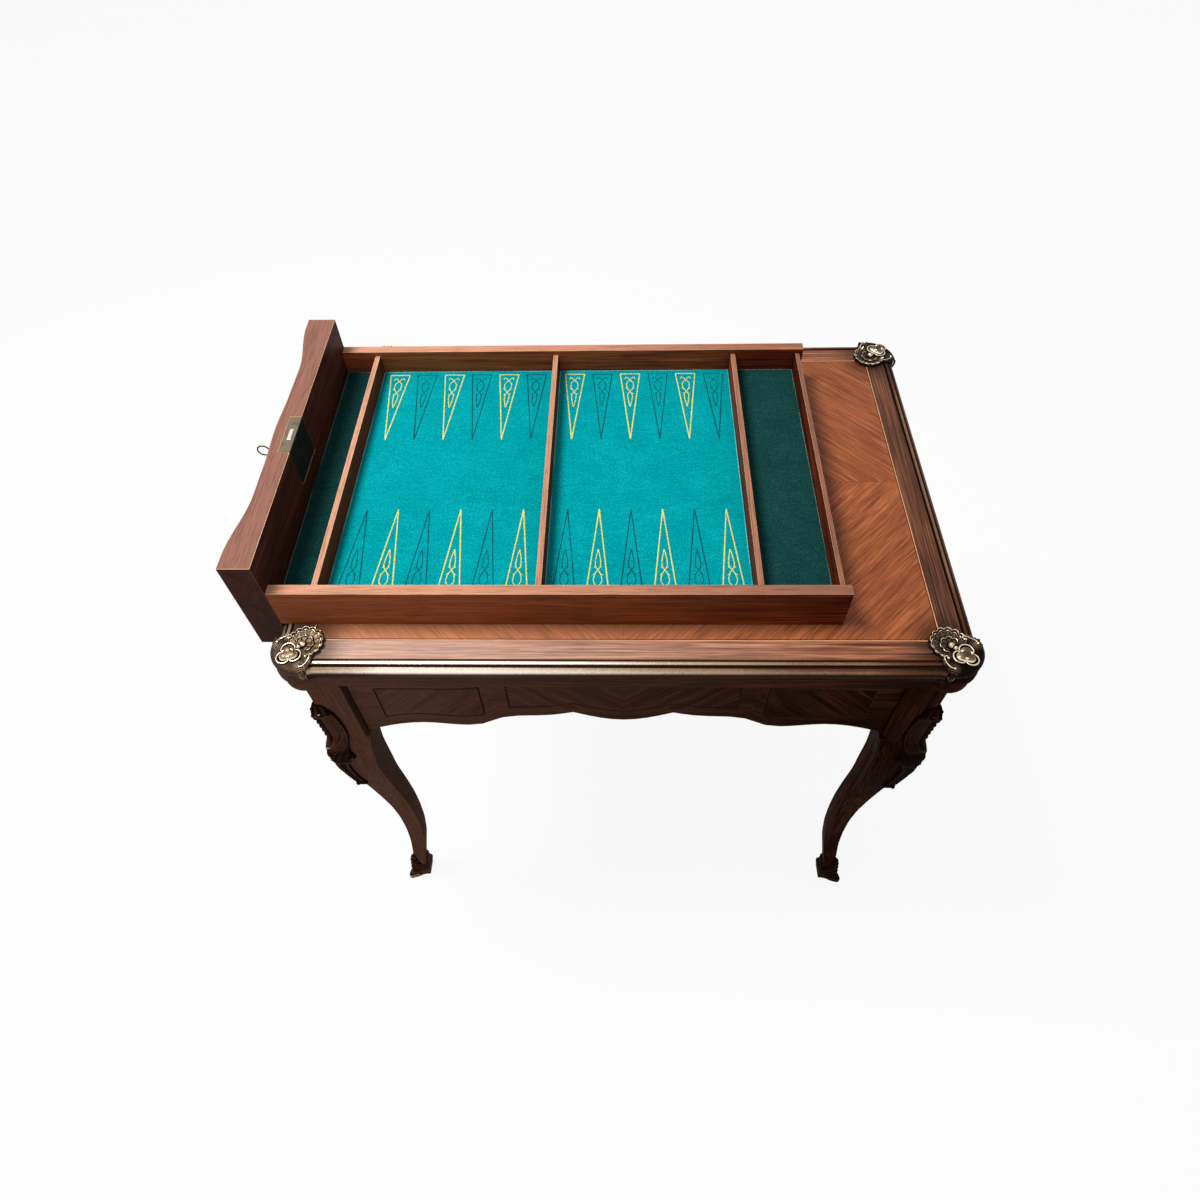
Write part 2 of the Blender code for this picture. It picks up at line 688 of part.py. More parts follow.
def build_frame():
    long_half = leg_x - leg_block_x - seat_gap
    short_half = housing_half - seat_gap
    back_y = apron_face_y - apron_thick
    back_x = apron_face_x - apron_thick
    for name, turns in (("apron_front", 0), ("apron_back", 2)):
        mesh = serpentine(long_half, apron_face_y, back_y, long_recess_shares, apron_recess, apron_height,
                          apron_steps, frame_top)
        apron = add(name, turned_copy(mesh, turns), dark_wood, root, round_below=radians(30))
        tenon_apron(apron, long_half, (apron_face_y + back_y) / 2, turns, {0: "front", 2: "back"}[turns])
    mesh = serpentine(short_half, apron_face_x, back_x, short_recess_shares, apron_recess, apron_height,
                      apron_steps, frame_top)
    apron = add("apron_right", turned_copy(mesh, 1), dark_wood, root, round_below=radians(30))
    tenon_apron(apron, short_half, (apron_face_x + back_x) / 2, 1, "right")

    rail_x = closed_front_x + board_clear
    add("upper_rail", block((rail_x, -short_half, closed_side_top + rail_head_clear),
                            (rail_x + upper_rail_thick, short_half, frame_top)), carcase_wood, root)
    add("lower_rail", block((rail_x, -short_half, housing_floor - lower_rail_thick),
                            (rail_x + lower_rail_deep, short_half, housing_floor)), carcase_wood, root)
    inner_y = back_y - seat_gap
    far_x = leg_x - leg_block_x - seat_gap
    run_x = rail_x + lower_rail_deep + seat_gap
    stop_x = closed_front_x + tray_length + seat_gap
    kick_y = housing_half - seat_gap
    pieces = {
        "runner": ((run_x, inner_y - runner_width, housing_floor - runner_thick),
                   (far_x, inner_y, housing_floor)),
        "guide": ((-far_x, housing_half, housing_floor + seat_gap), (far_x, inner_y, frame_top)),
        "kicker": ((rail_x + upper_rail_thick + seat_gap, kick_y - kicker_width,
                    closed_side_top + drawer_head_clear), (far_x, kick_y, frame_top)),
        "drawer_stop": ((stop_x, kick_y - kicker_width, housing_floor + seat_gap),
                        (stop_x + stop_length, kick_y, housing_floor + stop_height))}
    for name, (low, high) in pieces.items():
        add(name + "_back", block(low, high), carcase_wood, root)
        add(name + "_front", block((low[0], -high[1], low[2]), (high[0], -low[1], high[2])), carcase_wood, root)


# The drawer, in its own frame: X from the back of its front, Z from the underside of its sides
end_wall_inset = 0.0051
end_wall_thick = 0.0061
divider_thick = 0.0073
divider_drop = 0.0072           # tops lie this far below the sides
left_tray = 0.0467              # clear width of the narrow trays
right_tray = 0.0849
centre_share = 0.505            # the left board's share of what the two boards have
bottom_thick = 0.008
bottom_raise = 0.0148
groove_depth = 0.005
felt_thick = 0.0020
tongue_thick = 0.007            # of the drawer sides, let into the front
tongue_reach = 0.008
tongue_shoulder = 0.006         # below the top edge of the sides
housing_depth = 0.003           # of the dividers and the end wall in the sides


def across_block(sign, low, high):
    if sign < 0:
        low, high = (low[0], -high[1], low[2]), (high[0], -low[1], high[2])
    return block(low, high)


def build_drawer():
    half = tray_width / 2
    inner = half - side_thick
    board_top = board_height - board_drop
    mesh = serpentine(half, board_thick, 0, short_recess_shares, board_recess, board_height, apron_steps,
                      board_top)
    board = add("drawer_front", turned_copy(mesh, 3), dark_wood, tray, round_below=radians(30))
    g = seat_gap
    groove_low = bottom_raise - g
    groove_high = bottom_raise + bottom_thick + g
    tongue_y = inner + tongue_thick
    tongue_top = side_height - tongue_shoulder
    drawer_sides = []
    for name, sign in (("front", -1), ("back", 1)):
        profile = [(half, g), (half, side_height), (inner, side_height), (inner, groove_high),
                   (inner + groove_depth, groove_high), (inner + groove_depth, groove_low),
                   (inner, groove_low), (inner, g)]
        rings = [[(x, sign * y, z) for y, z in profile] for x in (-tongue_reach, tray_length)]
        side = add("drawer_side_" + name, loft(rings), drawer_wood, tray)
        drawer_sides.append((side, sign))
        cuts = (((tongue_y, -overrun), (half + overrun, side_height + overrun)),
                ((inner - overrun, tongue_top), (half + overrun, side_height + overrun)))
        for (y0, z0), (y1, z1) in cuts:
            shoulder = across_block(sign, (-tongue_reach - overrun, y0, z0), (g, y1, z1))
            combine(side, tool("cut_shoulder_" + name, shoulder, tray), 'DIFFERENCE')
        slot = across_block(sign, (-tongue_reach - g, inner - g, 0), (overrun, tongue_y + g, tongue_top + g))
        combine(board, tool("cut_tongue_slot_" + name, slot, tray), 'DIFFERENCE')
    edge = inner + groove_depth - g
    add("drawer_bottom", block((g - groove_depth, -edge, bottom_raise),
                               (tray_length, edge, bottom_raise + bottom_thick)), drawer_wood, tray)
    groove = block((-groove_depth, -inner, groove_low), (overrun, inner, groove_high))
    combine(board, tool("cut_front_groove", groove, tray), 'DIFFERENCE')
    floor = bottom_raise + bottom_thick + seat_gap
    across = inner - seat_gap
    end_x = tray_length - end_wall_inset - end_wall_thick
    top = side_height - divider_drop
    housed = inner + housing_depth - g
    right_x = end_x - right_tray - divider_thick
    centre_x = left_tray + divider_thick + centre_share * (right_x - left_tray - 2 * divider_thick)
    walls = {"divider_left": (left_tray, divider_thick), "divider_centre": (centre_x, divider_thick),
             "divider_right": (right_x, divider_thick), "drawer_end": (end_x, end_wall_thick)}
    for name, (x, thick) in walls.items():
        add(name, block((x, -housed, floor), (x + thick, housed, top)), drawer_wood, tray)
        for side, sign in drawer_sides:
            housing = across_block(sign, (x - g, inner - overrun, groove_high - g),
                                   (x + thick + g, inner + housing_depth, top + g))
            combine(side, tool("cut_housing_" + name, housing, tray), 'DIFFERENCE')
    beds = (("felt_left_tray", 0, left_tray, dark_felt),
            ("felt_left_board", left_tray + divider_thick, centre_x, bright_felt),
            ("felt_right_board", centre_x + divider_thick, right_x, bright_felt),
            ("felt_right_tray", right_x + divider_thick, end_x, dark_felt))
    for name, low_x, high_x, material in beds:
        add(name, block((low_x + seat_gap, -across, floor), (high_x - seat_gap, across, floor + felt_thick)),
            material, tray)
    build_lock(board)


# The lock: an iron case let into the back of the front, its plate let into the top edge
lock_shift = -0.011             # the lock sits a little off the middle
plate_length = 0.063
plate_width = 0.0140
plate_thick = 0.0015
case_depth = 0.0110
case_height = 0.0535
case_wall = 0.0013
bolt_width = 0.0198
bolt_thick = 0.0048
bolt_length = 0.0165
bolt_inset = 0.0070             # from the back of the front to the bolt's middle
bolt_clear = 0.0004
bolt_travel = 0.007
key_drop = 0.0270               # from the top edge down to the key
keyhole_radius = 0.0032
keyhole_slot = 0.0028
keyhole_reach = 0.0100
key_shank = 0.0020
key_bow_radius = 0.0073
key_bow_wire = 0.0013
key_stand_out = 0.0210          # from the wood out to the middle of the bow
key_bit_reach = 0.0082
key_bit_width = 0.0045
key_bit_thick = 0.0016
key_collar_radius = 0.0030
key_collar_length = 0.0020
round_steps = 16
bow_steps = 20
wire_steps = 8


def rod(radius, low_x, high_x):
    rings = [[(x, radius * cos(2 * pi * k / round_steps), radius * sin(2 * pi * k / round_steps))
              for k in range(round_steps)] for x in (low_x, high_x)]
    return loft(rings)


def build_lock(board):
    top = board_height - board_drop
    low_y = lock_shift - plate_length / 2
    high_y = lock_shift + plate_length / 2
    case_top = top - plate_thick - seat_gap
    case_low = case_top - case_height
    g = seat_gap
    combine(board, tool("cut_case", block((-case_depth - g, low_y - g, case_low - g),
                                          (overrun, high_y + g, top + overrun)), tray), 'DIFFERENCE')
    combine(board, tool("cut_plate", block((-plate_width - g, low_y - g, top - plate_thick - g),
                                           (overrun, high_y + g, top + overrun)), tray), 'DIFFERENCE')
    key_z = top - key_drop
    hole = tool("cut_keyhole", rod(keyhole_radius, -board_thick - overrun, -case_depth + overrun), tray,
                (0, lock_shift, key_z))
    combine(board, hole, 'DIFFERENCE')
    slot = tool("cut_keyslot", block((-board_thick - overrun, -keyhole_slot / 2, -keyhole_reach),
                                     (-case_depth + overrun, keyhole_slot / 2, 0)), tray,
                (0, lock_shift, key_z))
    combine(board, slot, 'DIFFERENCE')

    case = add("lock_case", block((-case_depth, low_y, case_low), (0, high_y, case_top)), iron, tray)
    pocket = block((-case_depth - overrun, low_y + case_wall, case_low + case_wall),
                   (-case_wall, high_y - case_wall, case_top + overrun))
    combine(case, tool("cut_case_pocket", pocket, tray), 'DIFFERENCE')
    half_bolt = bolt_width / 2 + bolt_clear
    half_thick = bolt_thick / 2 + bolt_clear
    add("lock_plate", ring_plate(((-plate_width, low_y), (0, high_y)),
                                 ((-bolt_inset - half_thick, lock_shift - half_bolt),
                                  (-bolt_inset + half_thick, lock_shift + half_bolt)),
                                 top - plate_thick, top), iron, tray)
    bolt = block((-bolt_thick / 2, -bolt_width / 2, -bolt_length), (bolt_thick / 2, bolt_width / 2, 0))
    add("lock_bolt", bolt, brass, tray, (-bolt_inset, lock_shift, top))
    build_key(key_z)


def build_key(key_z):
    wood_x = -key_face
    bow_x = wood_x - key_stand_out
    place = (0, lock_shift, key_z)
    shank_low = bow_x + key_bow_radius - key_bow_wire / 2
    key = add("key", rod(key_shank, shank_low, -case_wall - bolt_clear), brass, tray, place,
              round_below=radians(50))
    bit = block((-bolt_inset - key_bit_width / 2, -key_bit_thick / 2, -key_bit_reach),
                (-bolt_inset + key_bit_width / 2, key_bit_thick / 2, 0))
    combine(key, tool("join_bit", bit, tray, place), 'UNION')
    collar_x = wood_x - key_collar_length * 2
    collar = rod(key_collar_radius, collar_x, collar_x + key_collar_length)
    combine(key, tool("join_collar", collar, tray, place), 'UNION')
    combine(key, tool("join_bow", bow(bow_x), tray, place), 'UNION')


def bow(middle_x):
    mesh = bmesh.new()
    rows = []
    for k in range(bow_steps):
        turn = 2 * pi * k / bow_steps
        row = []
        for j in range(wire_steps):
            around = 2 * pi * j / wire_steps
            reach = key_bow_radius + key_bow_wire * cos(around)
            row.append(mesh.verts.new((middle_x + reach * cos(turn), key_bow_wire * sin(around),
                                       reach * sin(turn))))
        rows.append(row)
    for low, high in zip(rows, rows[1:] + rows[:1]):
        for k in range(wire_steps):
            n = (k + 1) % wire_steps
            mesh.faces.new((low[k], low[n], high[n], high[k]))
    bmesh.ops.recalc_face_normals(mesh, faces=mesh.faces)
    return mesh


clear_scene()
dark_wood = finish("dark kingwood", (0.060, 0.026, 0.016), 0.35)
carcase_wood = finish("carcase oak", (0.30, 0.19, 0.11), 0.6)
drawer_wood = finish("drawer mahogany", (0.22, 0.075, 0.035), 0.45)
field_veneer = finish("field veneer", (0.33, 0.10, 0.035), 0.3)
band_veneer = finish("band veneer", (0.25, 0.085, 0.04), 0.3)
light_wood = finish("stringing", (0.55, 0.30, 0.16), 0.35)
brass = finish("brass", (0.42, 0.33, 0.17), 0.35, 1.0)
bronze = finish("gilt bronze", (0.36, 0.27, 0.13), 0.42, 1.0)
steel = finish("tool", (0.5, 0.5, 0.5), 0.5)
iron = finish("lock iron", (0.10, 0.085, 0.075), 0.45, 1.0)
bright_felt = finish("teal felt", (0.0, 0.37, 0.39), 0.95)
dark_felt = finish("green felt", (0.01, 0.09, 0.075), 0.95)

# The whole part is centred on its own box: the key stands out past the left end
key_face = board_thick - board_recess * blend(abs(lock_shift) / (tray_width / 2), short_recess_shares)
left_reach = tray_x - key_face - key_stand_out - key_bow_radius - key_bow_wire
right_reach = half_length - ear_inset + ear_radius + mount_proud
root = frame("table_frame", None, (-(left_reach + right_reach) / 2, 0, 0))
tray = frame("tray_frame", root, (tray_x, tray_rest_y, table_height))

build_top()
build_legs()
build_frame()
build_drawer()
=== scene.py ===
import json
from math import acos, atan2, cos, hypot, pi, radians, sin, sqrt

import bmesh
import bpy
import numpy as np
from mathutils import Matrix, Vector

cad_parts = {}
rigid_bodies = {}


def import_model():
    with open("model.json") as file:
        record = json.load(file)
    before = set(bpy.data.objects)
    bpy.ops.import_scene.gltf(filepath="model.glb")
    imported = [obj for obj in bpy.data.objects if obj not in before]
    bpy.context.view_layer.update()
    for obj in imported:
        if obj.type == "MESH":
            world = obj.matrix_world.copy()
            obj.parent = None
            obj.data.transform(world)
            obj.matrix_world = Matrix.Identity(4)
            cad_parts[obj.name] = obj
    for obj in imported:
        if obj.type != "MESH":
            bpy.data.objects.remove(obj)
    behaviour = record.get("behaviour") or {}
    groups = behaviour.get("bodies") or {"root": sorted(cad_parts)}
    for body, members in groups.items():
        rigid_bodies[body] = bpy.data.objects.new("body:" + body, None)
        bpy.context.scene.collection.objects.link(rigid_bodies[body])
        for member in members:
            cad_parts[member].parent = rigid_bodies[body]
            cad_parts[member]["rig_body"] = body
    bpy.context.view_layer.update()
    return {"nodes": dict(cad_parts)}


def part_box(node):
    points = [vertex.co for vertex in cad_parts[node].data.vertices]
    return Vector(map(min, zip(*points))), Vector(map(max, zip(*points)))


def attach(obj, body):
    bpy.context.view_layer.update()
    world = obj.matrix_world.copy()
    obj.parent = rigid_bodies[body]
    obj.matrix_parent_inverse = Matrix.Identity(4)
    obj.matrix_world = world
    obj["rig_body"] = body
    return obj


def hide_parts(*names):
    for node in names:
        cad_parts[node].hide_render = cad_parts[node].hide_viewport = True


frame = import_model()
print("frame loaded:", len(frame["nodes"]), "nodes")

corners = {"front_left": (-1, -1), "front_right": (1, -1), "back_left": (-1, 1), "back_right": (1, 1)}
hair = 0.0002       # what a piece made here keeps from its neighbour


def lowOf(node):
    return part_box(node)[0]


def highOf(node):
    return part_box(node)[1]


# Where the top lies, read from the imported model
halfLength = (highOf("brass_edge_right").x - lowOf("brass_edge_left").x) / 2
halfWidth = (highOf("brass_edge_back").y - lowOf("brass_edge_front").y) / 2
midX = (highOf("brass_edge_right").x + lowOf("brass_edge_left").x) / 2
topZ = highOf("top_field").z
frameTop = highOf("apron_front").z
legFoot = lowOf("leg_front_left").z
legBlockLow = lowOf("apron_front").z


# Camera, light and floor

cameraLook = {
    "place": (0.0254, -0.7803, 1.5566),
    "yaw": -2.713,              # degrees, turned to the right is positive
    "pitch": 53.675,            # degrees down
    "roll": -2.147,
    "lens": 24.70,
    "sensor": 36.0,
}

stageLook = {
    "floorSize": 40.0,
    "floorColour": (0.80, 0.80, 0.80),
    "skyColour": (1.0, 1.0, 1.0),
    "skyLight": 0.48,           # what the sky gives the object
    "skySeen": 1.0,             # what the camera and the metal see of it
    "floorGlow": 0.90,
    "keyPlace": (-1.2, 0.05, 3.2),
    "keySize": 1.0,
    "keyPower": 78.0,
    "fillPlace": (1.6, -2.0, 2.2),
    "fillSize": 2.2,
    "fillPower": 3.0,
}


def put(tree, kind, inputs=None, **settings):
    made = tree.nodes.new("ShaderNode" + kind)
    for key, value in settings.items():
        setattr(made, key, value)
    for key, value in (inputs or {}).items():
        if isinstance(value, bpy.types.NodeSocket):
            tree.links.new(value, made.inputs[key])
        else:
            made.inputs[key].default_value = value
    return made


def placeCamera(look):
    yaw, pitch, roll = (radians(look[key]) for key in ("yaw", "pitch", "roll"))
    ahead = Vector((sin(yaw) * cos(pitch), cos(yaw) * cos(pitch), -sin(pitch)))
    right = Vector((cos(yaw), -sin(yaw), 0))
    up = right.cross(ahead)
    across = cos(roll) * right + sin(roll) * up
    upward = -sin(roll) * right + cos(roll) * up
    camera = bpy.data.objects.new("camera", bpy.data.cameras.new("camera"))
    bpy.context.scene.collection.objects.link(camera)
    turn = Matrix((across, upward, -ahead)).transposed().to_4x4()
    camera.matrix_world = Matrix.Translation(look["place"]) @ turn
    camera.data.sensor_fit = "HORIZONTAL"
    camera.data.sensor_width = look["sensor"]
    camera.data.lens = look["lens"]
    camera.data.clip_start = 0.05
    bpy.context.scene.camera = camera


def placeLamp(name, place, size, power):
    lamp = bpy.data.objects.new(name, bpy.data.lights.new(name, "AREA"))
    lamp.data.shape = "DISK"
    lamp.data.size = size
    lamp.data.energy = power
    bpy.context.scene.collection.objects.link(lamp)
    aim = Vector((midX, 0, topZ)) - Vector(place)
    lamp.matrix_world = Matrix.Translation(place) @ aim.to_track_quat("-Z", "Y").to_matrix().to_4x4()


def seenDirectly(tree):
    # 1 for what the camera, a mirror or glass sees, 0 for the light on the object
    path = put(tree, "LightPath")
    shiny = put(tree, "Math", {0: path.outputs["Is Camera Ray"], 1: path.outputs["Is Glossy Ray"]},
                operation="MAXIMUM")
    return put(tree, "Math", {0: shiny.outputs[0], 1: path.outputs["Is Transmission Ray"]},
               operation="MAXIMUM").outputs[0]


def makeStage(look):
    world = bpy.data.worlds.new("studio")
    bpy.context.scene.world = world
    world.use_nodes = True
    tree = world.node_tree
    back = tree.nodes["Background"]
    back.inputs["Color"].default_value = (*look["skyColour"], 1)
    strength = put(tree, "MapRange", {"Value": seenDirectly(tree), "To Min": look["skyLight"],
                                      "To Max": look["skySeen"]})
    tree.links.new(strength.outputs[0], back.inputs["Strength"])

    floorPaint = bpy.data.materials.new("studio floor")
    floorPaint.use_nodes = True
    tree = floorPaint.node_tree
    shader = tree.nodes["Principled BSDF"]
    shader.inputs["Base Color"].default_value = (*look["floorColour"], 1)
    shader.inputs["Roughness"].default_value = 0.8
    shader.inputs["Specular IOR Level"].default_value = 0.1
    glow = put(tree, "Emission", {"Color": (1, 1, 1, 1)})
    share = put(tree, "MapRange", {"Value": seenDirectly(tree), "To Min": 0.0, "To Max": look["floorGlow"]})
    mix = put(tree, "MixShader", {0: share.outputs[0], 1: shader.outputs[0], 2: glow.outputs[0]})
    tree.links.new(mix.outputs[0], tree.nodes["Material Output"].inputs["Surface"])

    mesh = bmesh.new()
    half = look["floorSize"] / 2
    mesh.faces.new([mesh.verts.new(p) for p in ((-half, -half, 0), (half, -half, 0), (half, half, 0),
                                                (-half, half, 0))])
    data = bpy.data.meshes.new("floor")
    mesh.to_mesh(data)
    data.materials.append(floorPaint)
    ground = bpy.data.objects.new("floor", data)
    bpy.context.scene.collection.objects.link(ground)
    placeLamp("key light", look["keyPlace"], look["keySize"], look["keyPower"])
    placeLamp("fill light", look["fillPlace"], look["fillSize"], look["fillPower"])


placeCamera(cameraLook)
makeStage(stageLook)
bpy.context.scene.view_settings.view_transform = "Standard"
print("camera, light and floor ready")


# Materials

def linear(red, green, blue):
    # a colour as seen on a screen, 0 to 255, for a shader
    made = []
    for value in (red, green, blue):
        share = value / 255
        made.append(share / 12.92 if share <= 0.04045 else ((share + 0.055) / 1.055) ** 2.4)
    return (*made, 1)


def calc(tree, operation, first, second=0.0):
    return put(tree, "Math", {0: first, 1: second}, operation=operation).outputs[0]


def mixColour(tree, share, first, second, mode="MIX"):
    made = put(tree, "Mix", data_type="RGBA", blend_type=mode)
    for index, value in ((0, share), (6, first), (7, second)):
        if isinstance(value, bpy.types.NodeSocket):
            tree.links.new(value, made.inputs[index])
        else:
            made.inputs[index].default_value = value
    return made.outputs[2]


def ramp(tree, value, stops):
    made = put(tree, "ValToRGB", {"Fac": value})
    band = made.color_ramp
    while len(band.elements) < len(stops):
        band.elements.new(0.5)
    for element, (place, colour) in zip(band.elements, stops):
        element.position = place
        element.color = colour
    return made.outputs[0]


def grey(level):
    return (level, level, level, 1)


def emptyFinish(name, metallic=0.0):
    made = bpy.data.materials.new(name)
    made.use_nodes = True
    tree = made.node_tree
    shader = tree.nodes["Principled BSDF"]
    shader.inputs["Metallic"].default_value = metallic
    return made, tree, shader


def objectSpace(tree):
    return put(tree, "TexCoord").outputs["Object"]


def noise(tree, vector, scale, detail=4.0, rough=0.55, bend=0.0):
    return put(tree, "TexNoise", {"Vector": vector, "Scale": scale, "Detail": detail, "Roughness": rough,
                                  "Distortion": bend}).outputs["Fac"]


def stretched(tree, vector, across, along, axis):
    # coordinates squeezed along the grain, so that a round noise turns into streaks
    scale = [across, across, across]
    scale["XYZ".index(axis)] = along
    return put(tree, "Mapping", {"Vector": vector, "Scale": scale}).outputs[0]


def bump(tree, shader, height, strength, distance):
    made = put(tree, "Bump", {"Height": height, "Strength": strength, "Distance": distance})
    tree.links.new(made.outputs[0], shader.inputs["Normal"])


# Wood looks. Towards the left end each look is mixed with a second colour by a share, as painted light and sheen
# there; away darkens faces that look to the right, as painted shade.
woodLooks = {
    "field": {"dark": linear(100, 49, 28), "mid": linear(144, 78, 45), "light": linear(182, 106, 64),
              "broad": 80, "fine": 560, "along": 7.0, "fineShare": 0.60, "pore": 900, "poreDepth": 0.45,
              "rough": 0.36, "gloss": 0.11, "coat": 0.03,
              "leftLitColour": linear(214, 150, 110), "fade": 0.45, "streak": 0.0, "away": 1.0},
    "band": {"dark": linear(70, 36, 24), "mid": linear(136, 80, 54), "light": linear(204, 140, 104),
             "broad": 90, "fine": 640, "along": 4.0, "fineShare": 0.62, "pore": 1100, "poreDepth": 0.5,
             "rough": 0.34, "gloss": 0.11, "coat": 0.03,
             "leftLitColour": linear(226, 190, 172), "fade": 0.60, "streak": 0.75, "away": 1.0},
    # the bands across the table are a darker copy of the banding, as painted shade like that at the right end
    "bandEnd": {"dark": linear(46, 24, 15), "mid": linear(92, 54, 36), "light": linear(146, 94, 66),
                "broad": 90, "fine": 640, "along": 4.0, "fineShare": 0.62, "pore": 1100, "poreDepth": 0.5,
                "rough": 0.34, "gloss": 0.11, "coat": 0.03,
                "leftLitColour": linear(200, 150, 126), "fade": 0.55, "streak": 0.75, "away": 1.0},
    "case": {"dark": linear(16, 6, 4), "mid": linear(38, 17, 10), "light": linear(76, 41, 27),
             "broad": 50, "fine": 420, "along": 4.0, "fineShare": 0.50, "pore": 900, "poreDepth": 0.5,
             "rough": 0.40, "gloss": 0.001, "coat": 0.0,
             "leftLitColour": linear(132, 92, 74), "fade": 0.40, "streak": 0.75, "away": 0.50},
    "board": {"dark": linear(34, 14, 9), "mid": linear(62, 28, 19), "light": linear(90, 46, 34),
              "broad": 50, "fine": 420, "along": 4.0, "fineShare": 0.50, "pore": 900, "poreDepth": 0.5,
              "rough": 0.42, "gloss": 0.02, "coat": 0.0,
              "leftLitColour": linear(122, 88, 76), "fade": 0.10, "streak": 0.8, "away": 0.95},
    "drawer": {"dark": linear(34, 9, 3), "mid": linear(76, 25, 10), "light": linear(134, 57, 29),
               "broad": 60, "fine": 420, "along": 4.0, "fineShare": 0.50, "pore": 900, "poreDepth": 0.55,
               "rough": 0.46, "gloss": 0.02, "coat": 0.0,
               "leftLitColour": linear(196, 112, 70), "fade": 0.54, "streak": 0.8, "away": 0.38},
    "oak": {"dark": linear(112, 84, 56), "mid": linear(150, 117, 80), "light": linear(178, 144, 103),
            "broad": 60, "fine": 420, "along": 5.0, "fineShare": 0.45, "pore": 700, "poreDepth": 0.7,
            "rough": 0.62, "gloss": 0.15, "coat": 0.0,
            "leftLitColour": linear(190, 160, 120), "fade": 0.0, "streak": 0.0, "away": 1.0},
    "line": {"dark": linear(176, 112, 70), "mid": linear(216, 150, 105), "light": linear(236, 176, 130),
             "broad": 80, "fine": 600, "along": 12.0, "fineShare": 0.5, "pore": 1200, "poreDepth": 0.25,
             "rough": 0.36, "gloss": 0.20, "coat": 0.04,
             "leftLitColour": linear(240, 196, 160), "fade": 0.4, "streak": 0.0, "away": 1.0},
    "inlay": {"dark": linear(46, 26, 17), "mid": linear(62, 37, 24), "light": linear(80, 50, 34),
              "broad": 80, "fine": 600, "along": 12.0, "fineShare": 0.5, "pore": 1200, "poreDepth": 0.25,
              "rough": 0.4, "gloss": 0.001, "coat": 0.0,
              "leftLitColour": linear(34, 20, 15), "fade": 1.0, "streak": 0.0, "away": 1.0},
    # painted groove shadow: a near-black line laid beside the light inlay line
    "grooveShadow": {"dark": linear(10, 5, 4), "mid": linear(18, 9, 7), "light": linear(30, 17, 13),
              "broad": 80, "fine": 600, "along": 12.0, "fineShare": 0.5, "pore": 1200, "poreDepth": 0.25,
              "rough": 0.4, "gloss": 0.001, "coat": 0.0,
              "leftLitColour": linear(24, 14, 11), "fade": 0.3, "streak": 0.0, "away": 1.0},
}


def leftLightShare(tree, low=0.0, high=1.0):
    # painted light: a share that grows towards the left end, standing in for the stronger light and sheen there
    x = put(tree, "SeparateXYZ", {0: objectSpace(tree)}).outputs["X"]
    return put(tree, "MapRange", {"Value": x, "From Min": midX + 0.26, "From Max": midX - 0.30, "To Min": low,
                                  "To Max": high}).outputs[0]


def woodFinish(name, look, axis, vector=None, canvas=None, fade=None, shade=None):
    made, tree, shader = canvas or emptyFinish(name)
    place = objectSpace(tree) if vector is None else vector
    broad = noise(tree, stretched(tree, place, look["broad"], look["along"] * 0.6, axis), 1.0, 4.0, 0.55, 0.7)
    fine = noise(tree, stretched(tree, place, look["fine"], look["along"] * 2.2, axis), 1.0, 4.0, 0.6)
    cloud = noise(tree, place, 9.0, 3.0)
    rest = 0.84 - look["fineShare"]
    share = calc(tree, "ADD", calc(tree, "ADD", calc(tree, "MULTIPLY", fine, look["fineShare"]),
                                   calc(tree, "MULTIPLY", broad, rest)), calc(tree, "MULTIPLY", cloud, 0.16))
    colour = ramp(tree, share, ((0.36, look["dark"]), (0.50, look["mid"]), (0.63, look["light"])))
    pores = noise(tree, stretched(tree, place, look["pore"], 26, axis), 1.0, 3.0, 0.6)
    pits = ramp(tree, pores, ((0.34, grey(1 - look["poreDepth"])), (0.50, grey(1.0))))
    # painted light: towards the left end the colour is mixed with the look's left colour
    colour = mixColour(tree, leftLightShare(tree, 0.0, look["fade"]), colour, look["leftLitColour"])
    # painted shade: faces that turn towards +X are darkened by the look's away share, as the shade on the sides
    # turned from the light
    side = put(tree, "SeparateXYZ", {0: put(tree, "NewGeometry").outputs["Normal"]}).outputs["X"]
    away = put(tree, "MapRange", {"Value": side, "From Min": 0.3, "From Max": 0.8,
                                  "To Min": 1.0, "To Max": look["away"]})
    colour = mixColour(tree, 1.0, colour, away.outputs[0], "MULTIPLY")
    # the fade given here is painted sheen on the faces that look up
    if fade is not None:
        colour = fade(tree, colour)
    if look["streak"]:
        streaks = ramp(tree, share, ((0.36, grey(0.60)), (0.50, grey(0.92)), (0.63, grey(1.0))))
        colour = mixColour(tree, look["streak"], colour, streaks, "MULTIPLY")
    colour = mixColour(tree, 0.8, colour, pits, "MULTIPLY")
    if shade is not None:
        colour = shade(tree, colour)
    tree.links.new(colour, shader.inputs["Base Color"])
    dull = put(tree, "MapRange", {"Value": cloud, "From Min": 0.3, "From Max": 0.7,
                                  "To Min": look["rough"] - 0.05, "To Max": look["rough"] + 0.08})
    tree.links.new(dull.outputs[0], shader.inputs["Roughness"])
    shader.inputs["Specular IOR Level"].default_value = look["gloss"]
    shader.inputs["Coat Weight"].default_value = look["coat"]
    shader.inputs["Coat Roughness"].default_value = 0.18
    bump(tree, shader, pits, 0.25, 0.0004)
    return made


